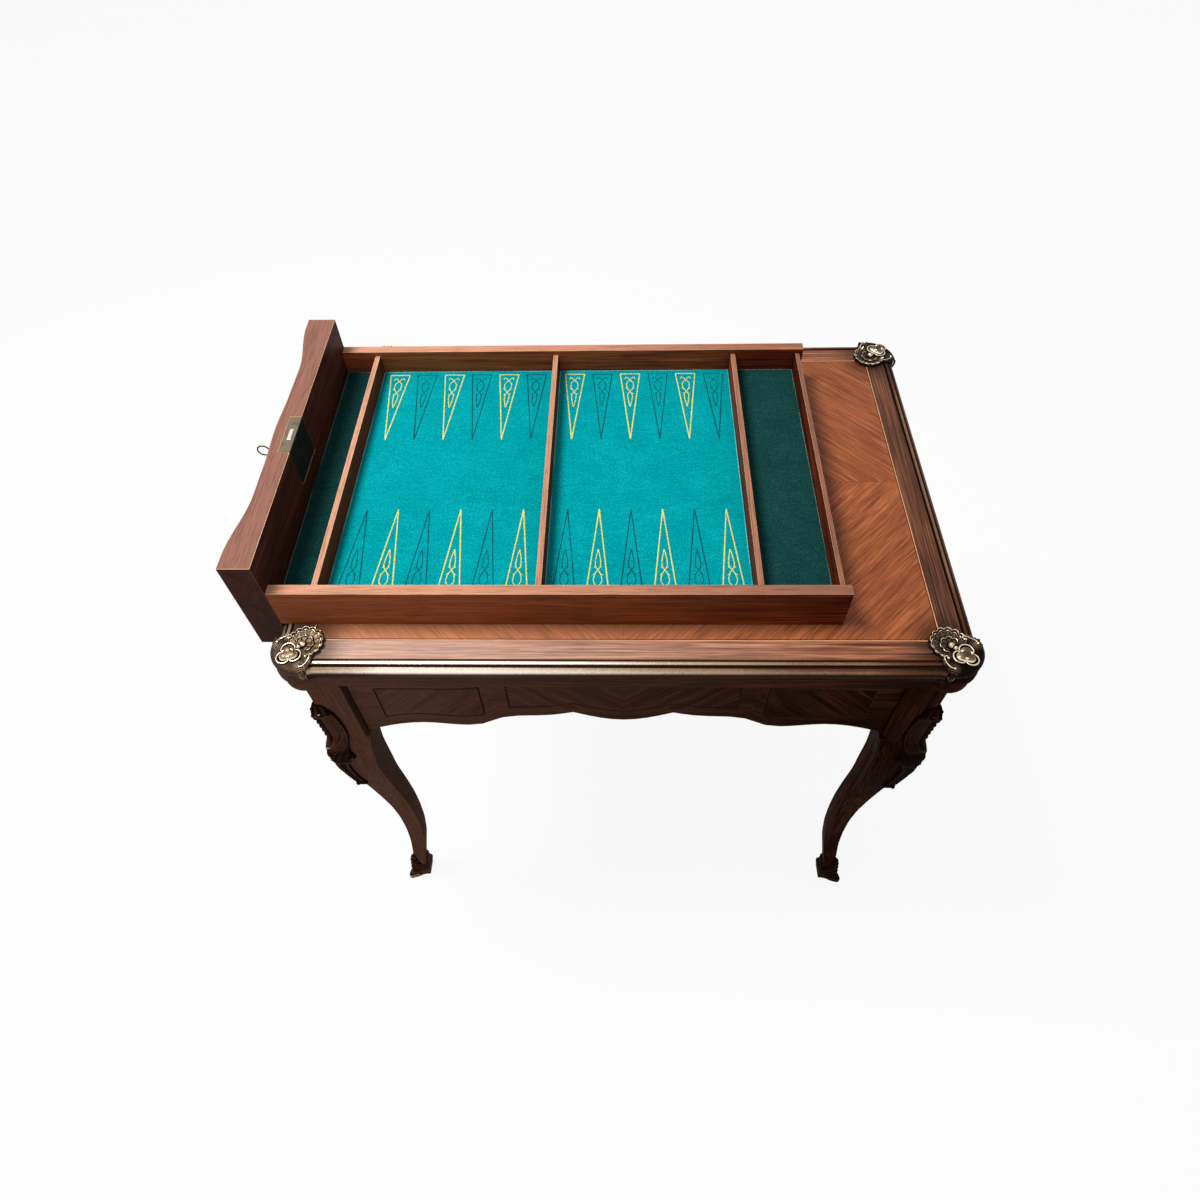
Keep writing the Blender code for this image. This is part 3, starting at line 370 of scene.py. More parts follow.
def grimyCorner(tree, colour):
    # polish and dust lie round the corner mounts
    place = put(tree, "SeparateXYZ", {0: objectSpace(tree)})
    u = calc(tree, "SUBTRACT", calc(tree, "ABSOLUTE", calc(tree, "SUBTRACT", place.outputs["X"], midX)),
             halfLength - 0.034)
    v = calc(tree, "SUBTRACT", calc(tree, "ABSOLUTE", place.outputs["Y"]), halfWidth - 0.034)
    away = calc(tree, "SQRT", calc(tree, "ADD", calc(tree, "MULTIPLY", u, u), calc(tree, "MULTIPLY", v, v)))
    share = put(tree, "MapRange", {"Value": away, "From Min": 0.022, "From Max": 0.062, "To Min": 0.35},
                interpolation_type="SMOOTHSTEP").outputs[0]
    return mixColour(tree, 1.0, colour, share, "MULTIPLY")


def paintedTopSheen(colour, least, most):
    # painted sheen: faces that look up are painted lighter, as the light's reflection on them, most at the left
    def apply(tree, inner):
        up = put(tree, "SeparateXYZ", {0: put(tree, "NewGeometry").outputs["Normal"]}).outputs["Z"]
        share = put(tree, "MapRange", {"Value": up, "From Min": 0.35, "From Max": 0.95}).outputs[0]
        return mixColour(tree, calc(tree, "MULTIPLY", share, leftLightShare(tree, least, most)), inner, colour)
    return apply


fieldLook = {
    "jointWidth": 0.0005,
    "jointDark": 0.45,
}


def fieldFinish(look):
    # four sheets of one veneer, folded out from the middle, so the grain runs in diamonds
    made, tree, shader = emptyFinish("quartered veneer")
    place = put(tree, "SeparateXYZ", {0: objectSpace(tree)})
    fromX = calc(tree, "SUBTRACT", place.outputs["X"], midX)
    u = calc(tree, "ABSOLUTE", fromX)
    v = calc(tree, "ABSOLUTE", place.outputs["Y"])
    across = calc(tree, "ADD", u, v)
    along = calc(tree, "SUBTRACT", u, v)
    side = calc(tree, "MULTIPLY", calc(tree, "SIGN", place.outputs["Y"]), 0.013)
    grain = put(tree, "CombineXYZ", {0: across, 1: along, 2: side}).outputs[0]

    def joints(inner, colour):
        line = calc(inner, "MINIMUM", u, v)
        near = put(inner, "MapRange", {"Value": line, "From Min": 0.0, "From Max": look["jointWidth"],
                                       "To Min": look["jointDark"], "To Max": 1.0}).outputs[0]
        return grimyCorner(inner, mixColour(inner, 1.0, colour, near, "MULTIPLY"))

    return woodFinish("quartered veneer", woodLooks["field"], "Y", grain, (made, tree, shader), shade=joints)


metalLooks = {
    "gilt": {"bright": linear(250, 238, 212), "worn": linear(134, 112, 86), "deep": linear(82, 65, 52),
             "recess": linear(20, 14, 10), "rough": 0.30, "recessRough": 0.75, "cloud": 60.0, "patchy": 0.35,
             "metal": 1.0},
    "dark": {"bright": linear(206, 180, 148), "worn": linear(82, 52, 37), "deep": linear(48, 28, 20),
             "recess": linear(16, 9, 6), "rough": 0.36, "recessRough": 0.7, "cloud": 90.0, "patchy": 0.30,
             "metal": 0.06},
    "edge": {"bright": linear(255, 247, 232), "worn": linear(168, 142, 116), "deep": linear(98, 62, 42),
             "recess": linear(34, 20, 14), "rough": 0.24, "recessRough": 0.7, "cloud": 9.0, "patchy": 0.20,
             "metal": 0.5},
    "plate": {"bright": linear(112, 100, 86), "worn": linear(88, 78, 66), "deep": linear(60, 52, 43),
              "recess": linear(12, 11, 10), "rough": 0.5, "recessRough": 0.75, "cloud": 160.0, "patchy": 0.9,
              "metal": 0.3},
    "iron": {"bright": linear(34, 38, 34), "worn": linear(17, 21, 18), "deep": linear(10, 13, 11),
             "recess": linear(5, 6, 5), "rough": 0.5, "recessRough": 0.75, "cloud": 90.0, "patchy": 0.6,
             "metal": 0.0},
    "steel": {"bright": linear(222, 216, 200), "worn": linear(168, 162, 148), "deep": linear(112, 104, 92),
              "recess": linear(30, 28, 26), "rough": 0.3, "recessRough": 0.6, "cloud": 90.0, "patchy": 0.3,
              "metal": 0.9},
}


metalGloss = 0.05       # low, so that the white floor doesn't grey the dark bronze


def metalFinish(name, look, tarnishAndShade=None, deepen=None):
    # bright on the high places, brown on the slopes and black in the recesses
    made, tree, shader = emptyFinish(name, look["metal"])
    place = objectSpace(tree)
    deep = put(tree, "Attribute", attribute_name="recess").outputs["Fac"]
    if deepen is not None:
        deep = calc(tree, "MULTIPLY", deep, deepen(tree))
    cloud = noise(tree, place, look["cloud"], 4.0, 0.6)
    speck = noise(tree, place, 420.0, 3.0, 0.6)
    wear = calc(tree, "ADD", calc(tree, "MULTIPLY", calc(tree, "SUBTRACT", cloud, 0.42), look["patchy"]),
                calc(tree, "MULTIPLY", calc(tree, "SUBTRACT", speck, 0.5), 0.22))
    share = calc(tree, "ADD", deep, wear)
    # tarnish, and painted shade towards the right end, where these are given
    if tarnishAndShade is not None:
        share = calc(tree, "ADD", share, tarnishAndShade(tree))
    colour = ramp(tree, share, ((0.05, look["bright"]), (0.30, look["worn"]), (0.55, look["deep"]),
                                (0.85, look["recess"])))
    tree.links.new(colour, shader.inputs["Base Color"])
    shader.inputs["Specular IOR Level"].default_value = metalGloss * look["metal"]
    dull = put(tree, "MapRange", {"Value": share, "To Min": look["rough"], "To Max": look["recessRough"]})
    tree.links.new(dull.outputs[0], shader.inputs["Roughness"])
    bump(tree, shader, speck, 0.12, 0.0004)
    return made


def tarnishAndRightShade(tree):
    # hands and polish don't reach the brass beside the corner mounts; towards the right end the brass is painted
    # darker, as painted shade and darker reflections
    place = put(tree, "SeparateXYZ", {0: objectSpace(tree)})
    x = calc(tree, "SUBTRACT", place.outputs["X"], midX)
    toX = put(tree, "MapRange", {"Value": calc(tree, "ABSOLUTE", x), "From Min": halfLength - 0.13,
                                 "From Max": halfLength - 0.06}).outputs[0]
    toY = put(tree, "MapRange", {"Value": calc(tree, "ABSOLUTE", place.outputs["Y"]),
                                 "From Min": halfWidth - 0.13, "From Max": halfWidth - 0.06}).outputs[0]
    right = put(tree, "MapRange", {"Value": x, "From Min": -0.16, "From Max": 0.26, "To Max": 0.44}).outputs[0]
    return calc(tree, "ADD", calc(tree, "MULTIPLY", calc(tree, "MULTIPLY", toX, toY), 0.22), right)


feltLooks = {
    "board": {"dark": linear(0, 116, 122), "mid": linear(0, 141, 148), "light": linear(14, 168, 174)},
    "tray": {"dark": linear(11, 47, 45), "mid": linear(18, 59, 57), "light": linear(38, 80, 76)},
}


def feltFinish(name, look):
    made, tree, shader = emptyFinish(name)
    place = objectSpace(tree)
    cloud = noise(tree, place, 26.0, 4.0, 0.6)
    tuft = noise(tree, place, 520.0, 5.0, 0.7)
    nap = noise(tree, stretched(tree, place, 300, 70, "X"), 1.0, 4.0, 0.65)
    share = calc(tree, "ADD", calc(tree, "ADD", calc(tree, "MULTIPLY", cloud, 0.12),
                                   calc(tree, "MULTIPLY", nap, 0.16)), calc(tree, "MULTIPLY", tuft, 0.72))
    colour = ramp(tree, share, ((0.38, look["dark"]), (0.50, look["mid"]), (0.62, look["light"])))
    tree.links.new(colour, shader.inputs["Base Color"])
    shader.inputs["Roughness"].default_value = 0.95
    shader.inputs["Specular IOR Level"].default_value = 0.0
    shader.inputs["Sheen Weight"].default_value = 0.02
    shader.inputs["Sheen Roughness"].default_value = 0.4
    bump(tree, shader, tuft, 0.5, 0.0008)
    return made


threadLooks = {
    "yellow": {"dark": linear(206, 166, 44), "light": linear(238, 218, 112)},
    "green": {"dark": linear(0, 54, 62), "light": linear(6, 84, 90)},
    "selvage": {"dark": linear(60, 150, 150), "light": linear(140, 195, 190)},
    "cut": {"dark": linear(50, 80, 76), "light": linear(128, 144, 136)},
}


def threadFinish(name, look):
    made, tree, shader = emptyFinish(name)
    place = objectSpace(tree)
    twist = noise(tree, place, 900.0, 2.0, 0.6)
    colour = ramp(tree, twist, ((0.35, look["dark"]), (0.60, look["light"])))
    tree.links.new(colour, shader.inputs["Base Color"])
    shader.inputs["Roughness"].default_value = 0.7
    shader.inputs["Specular IOR Level"].default_value = 0.1
    bump(tree, shader, twist, 0.4, 0.0003)
    return made


def darkInside(tree, colour):
    # the line is a dark strip against the field and a light one outside it
    place = put(tree, "SeparateXYZ", {0: objectSpace(tree)})
    field = highOf("top_field")
    u = calc(tree, "SUBTRACT", calc(tree, "ABSOLUTE", calc(tree, "SUBTRACT", place.outputs["X"], midX)),
             field.x - midX)
    v = calc(tree, "SUBTRACT", calc(tree, "ABSOLUTE", place.outputs["Y"]), field.y)
    out = calc(tree, "MAXIMUM", u, v)
    width = highOf("top_stringing").y - field.y
    share = calc(tree, "LESS_THAN", out, width * 0.5)
    return mixColour(tree, share, colour, linear(46, 22, 14))


fieldVeneer = fieldFinish(fieldLook)
bandAlongX = woodFinish("banding along the table", woodLooks["band"], "X", shade=grimyCorner)
bandAlongY = woodFinish("banding across the table", woodLooks["bandEnd"], "Y", shade=grimyCorner)
stringing = woodFinish("boxwood line", woodLooks["line"], "X", shade=darkInside)
inlayLine = woodFinish("inlay line", woodLooks["inlay"], "X")
inlayShadowLine = woodFinish("painted groove shadow line", woodLooks["grooveShadow"], "X")
caseAlongX = woodFinish("dark wood along the table", woodLooks["case"], "X")
caseAlongY = woodFinish("dark wood across the table", woodLooks["case"], "Y")
caseUpright = woodFinish("dark wood upright", woodLooks["case"], "Z")
# painted sheen on the drawer's faces that look up
drawerTopSheen = paintedTopSheen(linear(216, 156, 126), 0.32, 0.92)
drawerAlongX = woodFinish("drawer mahogany along the table", woodLooks["drawer"], "X", fade=drawerTopSheen)
# the bevels along the mouldings' arrises take lighter wood, partly wear and partly a painted highlight
caseArrisWearAndGlint = woodFinish("rubbed arris", {**woodLooks["case"], "dark": linear(42, 22, 15), "mid": linear(78, 48, 36),
                                        "light": linear(122, 84, 66)}, "X")
# painted light: a lighter copy of the drawer wood for the far rail, whose inner face looks towards the light
farRailLitCopy = woodFinish("lit copy of the drawer wood for the far side", {**woodLooks["drawer"], "dark": linear(60, 22, 12),
                                                "mid": linear(120, 52, 30), "light": linear(184, 92, 60)}, "X",
                     fade=drawerTopSheen)
drawerAlongY = woodFinish("drawer mahogany across the table", woodLooks["drawer"], "Y", fade=drawerTopSheen)
boardWood = woodFinish("drawer front", woodLooks["board"], "Y",
                       fade=paintedTopSheen(linear(164, 116, 101), 0.68, 0.68))
# the drawer's arris bevels: wear, with painted sheen on those that look up
drawerArrisWearAndSheen = woodFinish("arris wear and painted sheen", woodLooks["drawer"], "X", fade=paintedTopSheen(linear(236, 190, 156), 0.45, 1.0))
oakAlongX = woodFinish("oak along the table", woodLooks["oak"], "X")
oakAlongY = woodFinish("oak across the table", woodLooks["oak"], "Y")


rightShadeSpan = {"from": -0.2, "to": 0.3, "hollows": 1.4}     # painted shade towards the right end: from the middle, and how much darker the hollows get


def shadeTowardsRight(most):
    # painted shade: what stands at the right end is painted darker, as the shade that falls there
    def apply(tree):
        x = put(tree, "SeparateXYZ", {0: objectSpace(tree)}).outputs["X"]
        return put(tree, "MapRange", {"Value": x, "From Min": midX + rightShadeSpan["from"],
                                      "From Max": midX + rightShadeSpan["to"], "To Max": most}).outputs[0]
    return apply


def hollowShadeRight(tree):
    # painted shade: the hollows of the mounts are painted darker towards the right end
    x = put(tree, "SeparateXYZ", {0: objectSpace(tree)}).outputs["X"]
    return put(tree, "MapRange", {"Value": x, "From Min": midX + rightShadeSpan["from"],
                                  "From Max": midX + rightShadeSpan["to"], "To Min": 1.0,
                                  "To Max": rightShadeSpan["hollows"]}).outputs[0]


giltBronze = metalFinish("gilt bronze", metalLooks["gilt"], deepen=hollowShadeRight)
brassEdge = metalFinish("brass edge", metalLooks["edge"], tarnishAndRightShade)
darkBronze = metalFinish("dark bronze", metalLooks["dark"], shadeTowardsRight(0.24))
plateMetal = metalFinish("lock plate metal", metalLooks["plate"])
caseIron = metalFinish("lock iron", metalLooks["iron"])
boltSteel = metalFinish("bolt steel", metalLooks["steel"])
boardFelt = feltFinish("board felt", feltLooks["board"])
trayFelt = feltFinish("tray felt", feltLooks["tray"])
threads = {name: threadFinish(name + " thread", look) for name, look in threadLooks.items()}
print("materials ready:", len(bpy.data.materials))


# Making pieces

def addPiece(name, mesh, material, body, standsFor=(), sharp=None):
    data = bpy.data.meshes.new(name)
    mesh.to_mesh(data)
    mesh.free()
    data.materials.append(material)
    if sharp is not None:
        data.shade_smooth()
        data.set_sharp_from_angle(angle=radians(sharp))
    piece = bpy.data.objects.new(name, data)
    bpy.context.scene.collection.objects.link(piece)
    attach(piece, body)
    if standsFor:
        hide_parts(*standsFor)
    return piece


def easedPiece(node, material, ease=0.0007, turns=2, sharp=30, worn=None):
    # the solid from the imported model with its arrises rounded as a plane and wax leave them
    source = frame["nodes"][node]
    mesh = bmesh.new()
    mesh.from_mesh(source.data)
    bmesh.ops.remove_doubles(mesh, verts=mesh.verts, dist=0.00002)
    bmesh.ops.dissolve_limit(mesh, angle_limit=radians(0.5), verts=mesh.verts, edges=mesh.edges)
    piece = addPiece("worked_" + node, mesh, material, source["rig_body"], [node], sharp)
    rounding = piece.modifiers.new("eased arris", "BEVEL")
    rounding.width = ease
    rounding.segments = turns
    rounding.limit_method = "ANGLE"
    rounding.angle_limit = radians(35)
    rounding.harden_normals = True
    if worn is not None:
        piece.data.materials.append(worn)
        rounding.material = 1
    return piece


def skin(mesh, rows, closedAcross=False, closedAlong=False):
    # faces between rows of vertices
    pairs = list(zip(rows, rows[1:]))
    if closedAlong:
        pairs.append((rows[-1], rows[0]))
    count = len(rows[0])
    for low, high in pairs:
        for k in range(count if closedAcross else count - 1):
            n = (k + 1) % count
            mesh.faces.new((low[k], low[n], high[n], high[k]))


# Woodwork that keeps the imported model's shape

panelLook = {
    "lines": (0.311, 0.180, 0.149),     # upright lines, from the middle of a long apron
    "endLines": (0.160, 0.030),         # the same for the short apron
    "topLine": 0.0355,                  # below the top of the apron
    "bottomLine": 0.024,                # above its shaped edge
    "width": 0.0010,                    # of the light line and of the painted shadow line beside it
    "proud": 0.00008,
}


def apronFinish(name, axis, lines):
    # the panels have their grain at a slant, turned about at the plain strip between two panels
    made, tree, shader = emptyFinish(name)
    place = put(tree, "SeparateXYZ", {0: objectSpace(tree)})
    if axis == "X":
        u = calc(tree, "ABSOLUTE", calc(tree, "SUBTRACT", place.outputs["X"], midX))
        depth = place.outputs["Y"]
    else:
        u = calc(tree, "ABSOLUTE", place.outputs["Y"])
        depth = place.outputs["X"]
    z = place.outputs["Z"]
    inPanel = calc(tree, "LESS_THAN", z, frameTop - panelLook["topLine"])
    inPanel = calc(tree, "MULTIPLY", inPanel, calc(tree, "GREATER_THAN", z, legBlockLow + 0.042))
    inPanel = calc(tree, "MULTIPLY", inPanel, calc(tree, "LESS_THAN", u, lines[0]))
    turned = calc(tree, "GREATER_THAN", u, lines[1])
    if len(lines) > 2:
        strip = calc(tree, "MULTIPLY", calc(tree, "LESS_THAN", u, lines[1]),
                     calc(tree, "GREATER_THAN", u, lines[2]))
        inPanel = calc(tree, "MULTIPLY", inPanel, calc(tree, "SUBTRACT", 1.0, strip))
    slant = calc(tree, "MULTIPLY", z, calc(tree, "SUBTRACT", calc(tree, "MULTIPLY", turned, 2.0), 1.0))
    across = calc(tree, "ADD", u, slant)
    along = calc(tree, "SUBTRACT", u, slant)
    straight = put(tree, "CombineXYZ", {0: u, 1: depth, 2: z}).outputs[0]
    leaning = put(tree, "CombineXYZ", {0: along, 1: depth, 2: across}).outputs[0]
    grain = put(tree, "Mix", data_type="VECTOR")
    for index, value in ((0, inPanel), (4, straight), (5, leaning)):
        tree.links.new(value, grain.inputs[index])
    return woodFinish(name, woodLooks["case"], "X", grain.outputs[1], (made, tree, shader))


apronLong = apronFinish("long apron veneer", "X", panelLook["lines"])
apronShort = apronFinish("short apron veneer", "Y", panelLook["endLines"])
easedNodes = (
    (apronLong, 0.0008, ("apron_front", "apron_back")),
    (apronShort, 0.0008, ("apron_right",)),
    (caseAlongX, 0.0008, ("top_moulding_front", "top_moulding_back")),
    (caseAlongY, 0.0008, ("top_moulding_left", "top_moulding_right")),
    (oakAlongX, 0.0008, ("runner_front", "runner_back", "guide_front", "guide_back", "kicker_front",
                         "kicker_back", "drawer_stop_front", "drawer_stop_back")),
    (oakAlongY, 0.0008, ("upper_rail", "lower_rail", "top_core")),
    (drawerAlongX, 0.0008, ("drawer_side_front",)),
    (farRailLitCopy, 0.0008, ("drawer_side_back",)),
    (drawerAlongY, 0.0008, ("divider_left", "divider_centre", "divider_right", "drawer_end", "drawer_bottom")),
    (boardWood, 0.0008, ("drawer_front",)),
    (plateMetal, 0.0002, ("lock_plate",)),
    (caseIron, 0.0002, ("lock_case",)),
    (boltSteel, 0.0002, ("lock_bolt",)),
)
# the bevels take the lighter arris wood: wear with a painted highlight
arrisWearAndGlint = {drawerAlongX: drawerArrisWearAndSheen, farRailLitCopy: drawerArrisWearAndSheen, drawerAlongY: drawerArrisWearAndSheen, boardWood: drawerArrisWearAndSheen,
          caseAlongX: caseArrisWearAndGlint, caseAlongY: caseArrisWearAndGlint}
for material, ease, names in easedNodes:
    for node in names:
        easedPiece(node, material, ease, worn=arrisWearAndGlint.get(material))
plainNodes = {"top_field": fieldVeneer, "top_band_front": bandAlongX, "top_band_back": bandAlongX,
              "top_band_left": bandAlongY, "top_band_right": bandAlongY, "top_stringing": stringing}
for node, material in plainNodes.items():
    frame["nodes"][node].material_slots[0].material = material
print("woodwork dressed")


# Ornament in cast metal is one mesh for each casting, with a layer that says how deep a point lies

def newCasting():
    mesh = bmesh.new()
    return mesh, mesh.verts.layers.float.new("recess")


def tube(mesh, deep, points, radii, sides=8, lifted=None):
    # a round wire along points, its ends closed by a small dome
    points = [Vector(p) for p in points]
    rows = []
    up = Vector(lifted or (0, 0, 1))
    for k, point in enumerate(points):
        ahead = (points[min(k + 1, len(points) - 1)] - points[max(k - 1, 0)]).normalized()
        side = ahead.cross(up)
        side = side.normalized() if side.length > 1e-6 else Vector((1, 0, 0))
        rise = side.cross(ahead)
        row = []
        for j in range(sides):
            turn = 2 * pi * j / sides
            vertex = mesh.verts.new(point + radii[k] * (cos(turn) * side + sin(turn) * rise))
            vertex[deep] = 0.30 + 0.60 * max(0.0, -sin(turn)) - 0.30 * max(0.0, sin(turn)) ** 4
            row.append(vertex)
        rows.append(row)
    skin(mesh, rows, closedAcross=True)
    for row, centre, off in ((rows[0], points[0], points[0] - points[1]),
                             (rows[-1], points[-1], points[-1] - points[-2])):
        tip = mesh.verts.new(centre + off.normalized() * radii[0 if row is rows[0] else -1] * 0.5)
        for j in range(sides):
            n = (j + 1) % sides
            corner = (row[n], row[j], tip) if row is rows[0] else (row[j], row[n], tip)
            mesh.faces.new(corner)


def bead(mesh, deep, centre, radius, flat=1.0, turns=12, rings=7, tone=0.0):
    # a round bead, its lower half dark
    centre = Vector(centre)
    rows = []
    for j in range(1, rings):
        tilt = pi * j / rings
        row = []
        for k in range(turns):
            turn = 2 * pi * k / turns
            vertex = mesh.verts.new(centre + radius * Vector((sin(tilt) * cos(turn), sin(tilt) * sin(turn),
                                                              cos(tilt) * flat)))
            vertex[deep] = tone + (1 - tone) * max(0.0, 0.3 - cos(tilt))
            row.append(vertex)
        rows.append(row)
    skin(mesh, rows, closedAcross=True)
    for row, z, turned in ((rows[0], flat, False), (rows[-1], -flat, True)):
        tip = mesh.verts.new(centre + Vector((0, 0, radius * z)))
        tip[deep] = 1.0 if turned else tone
        for k in range(turns):
            n = (k + 1) % turns
            mesh.faces.new((row[n], row[k], tip) if turned else (row[k], row[n], tip))


def between(value, shares):
    for (p0, v0), (p1, v1) in zip(shares, shares[1:]):
        if value <= p1:
            return v0 + (v1 - v0) * (value - p0) / (p1 - p0)
    return shares[-1][1]


def smoothLine(points, steps):
    # a smooth curve through points, with steps between each two
    ends = [2 * Vector(points[0]) - Vector(points[1]), *map(Vector, points),
            2 * Vector(points[-1]) - Vector(points[-2])]
    line = []
    for a, b, c, d in zip(ends, ends[1:], ends[2:], ends[3:]):
        for k in range(steps):
            t = k / steps
            line.append(0.5 * (2 * b + (c - a) * t + (2 * a - 5 * b + 4 * c - d) * t ** 2
                               + (3 * b - a - 3 * c + d) * t ** 3))
    return line + [Vector(points[-1])]


# The brass edge, a fillet level with the top, a quirk and a half round

edgeShape = {
    "earRadius": 0.033,
    "earInset": 0.026,
    "earHollow": 0.015,
    "hollowSteps": 10,
    "width": 0.0135,
    "depth": 0.0202,
    "filletWidth": 0.0044,
    "quirkWidth": 0.0006,
    "quirkDepth": 0.0030,
    "torusDepth": 0.0083,
    "torusHalf": 0.0090,
    "torusSteps": 20,
    "eased": 0.0006,
    "endGap": 0.0004,
}


# How dark the half round is painted, from its lowest line (-1) to its highest (1): painted shade underneath, a
# painted highlight a little above the middle, and tan towards the top
torusPaintedLight = ((-1, 0.8), (0.0, 0.78), (0.14, 0.62), (0.28, 0.40), (0.42, 0.10), (0.55, 0.0),
             (0.72, 0.03), (0.9, 0.16), (1, 0.3))


def edgeLine(shape, side, inset):
    halfRun, halfAcross = (halfLength, halfWidth) if side in ("front", "back") else (halfWidth, halfLength)
    reach = shape["earRadius"] + shape["earHollow"]
    lean = acos((shape["earInset"] + shape["earHollow"]) / reach)
    ear = Vector((-halfRun + shape["earInset"], -halfAcross + shape["earInset"]))
    hollow = ear + reach * Vector((sin(lean), -cos(lean)))
    half = []
    for k in range(shape["hollowSteps"] + 1):
        t = lean * (1 - k / shape["hollowSteps"])
        half.append(hollow - (shape["earHollow"] + inset) * Vector((sin(t), -cos(t))))
    line = half + [Vector((-p.x, p.y)) for p in reversed(half)]
    turned = {"front": lambda p: (p.x, p.y), "back": lambda p: (-p.x, -p.y),
              "left": lambda p: (p.y, -p.x), "right": lambda p: (-p.y, p.x)}[side]
    return [turned(p) for p in line]


def edgeProfile(shape):
    # inset from the outermost brass, height, and how dark the place is: dirt in the quirk, painted light on the half
    # round
    fillet = shape["width"] - shape["filletWidth"]
    quirk = fillet - shape["quirkWidth"]
    low = topZ - shape["depth"]
    torusZ = low + shape["torusHalf"]
    eased = shape["eased"]
    quirkZ = topZ - shape["quirkDepth"]
    profile = [(shape["width"], low, 0.8), (shape["width"], topZ, 0.5), (shape["width"] - 0.0006, topZ, 0.5),
               (shape["width"] - 0.0010, topZ, 0.05), (fillet + eased, topZ, 0.0),
               (fillet + eased / 3, topZ - eased / 3, 0.0), (fillet, topZ - eased, 0.05),
               (fillet, topZ - eased * 3, 0.22), (fillet, quirkZ + 0.0008, 0.45), (fillet, quirkZ, 1.0),
               (quirk, quirkZ, 1.0)]
    for k in range(shape["torusSteps"] + 1):
        turn = radians(78) - (radians(78) + pi / 2) * k / shape["torusSteps"]
        dirtAndPaintedLight = 0.9 if k == 0 else between(sin(turn), torusPaintedLight)
        profile.append((shape["torusDepth"] * (1 - cos(turn)), torusZ + shape["torusHalf"] * sin(turn), dirtAndPaintedLight))
    return profile


def makeBrassEdge(shape, side):
    mesh, deep = newCasting()
    rows = []
    for inset, z, dirtAndPaintedLight in edgeProfile(shape):
        line = [Vector((*p, z)) for p in edgeLine(shape, side, inset)]
        line[0] += (line[1] - line[0]).normalized() * shape["endGap"]
        line[-1] += (line[-2] - line[-1]).normalized() * shape["endGap"]
        row = []
        for point in line:
            vertex = mesh.verts.new(point + Vector((midX, 0, 0)))
            vertex[deep] = dirtAndPaintedLight
            row.append(vertex)
        rows.append(row)
    skin(mesh, rows, closedAlong=True)
    mesh.faces.new([row[0] for row in rows])
    mesh.faces.new([row[-1] for row in reversed(rows)])
    bmesh.ops.recalc_face_normals(mesh, faces=mesh.faces)
    addPiece("brassEdge_" + side, mesh, brassEdge, "root", ["brass_edge_" + side], 40)


for side in ("front", "back", "left", "right"):
    makeBrassEdge(edgeShape, side)
print("brass edges made")


# Corner mounts: a scalloped fan with a palmette, a trefoil boss in three C scrolls, and leaves at the waist

mountLook = {
    "stations": 280,
    "rings": 80,
    "fanRadius": 0.0220,
    "fanShift": 0.0140,
    "lobes": 8,
    "scallop": 0.0024,
    "proud": 0.0018,
    "skin": 0.0016,
    "rim": 0.0021,
    "rimWidth": 0.00075,
    "rootU": -0.0095,
    "palmette": 0.0138,
    "palmetteWide": 1.95,       # radians to each side
    "bossU": 0.0085,
    "bossLobe": 0.0054,
    "bossRadius": 0.0066,
    "bossHeight": 0.0060,
    "scrollOut": 0.0068,        # from the middle of the boss to the middle of a scroll
    "scrollRadius": 0.0080,
    "scrollWire": 0.00090,
    "cut": 0.0065,              # off the ear's round at the very corner
    "lip": 0.0056,
    "bronzeLow": 0.0202,
}
# Half the turn that the casting takes round the ear
mountLimit = pi / 4 - 0.0003 / edgeShape["earRadius"] + acos(
    (edgeShape["earInset"] + edgeShape["earHollow"]) / (edgeShape["earRadius"] + edgeShape["earHollow"]))
# The leaves of the waist reach this far from the middle of the ear, by the turn past the ear's end
waistReach = ((0.0, 0.0325), (0.20, 0.0290), (0.45, 0.0262), (0.75, 0.0225), (1.2, 0.0180), (pi, 0.0150))


def cornerCut(look, angle):
    return look["cut"] * cos(angle / mountLimit * pi / 2)


def mountReach(look, angle, hangs):
    if hangs:
        return edgeShape["earRadius"] + look["proud"] - hair - cornerCut(look, angle)
    away = look["fanShift"] * sin(angle)
    reach = -look["fanShift"] * cos(angle) + sqrt(max(0.0, look["fanRadius"] ** 2 - away ** 2))
    around = atan2(reach * sin(angle), -(reach * cos(angle) - look["rootU"]))
    reach -= look["scallop"] * (1 - abs(cos(look["lobes"] * around)) ** 0.7)
    past = min(angle, 2 * pi - angle) - mountLimit
    return max(reach, between(past, waistReach) + 0.0006 * cos(past * 34))


def dome(u, v, centreU, centreV, radius, height):
    share = 1 - ((u - centreU) ** 2 + (v - centreV) ** 2) / radius ** 2
    return height * np.sqrt(np.clip(share, 0, 1))


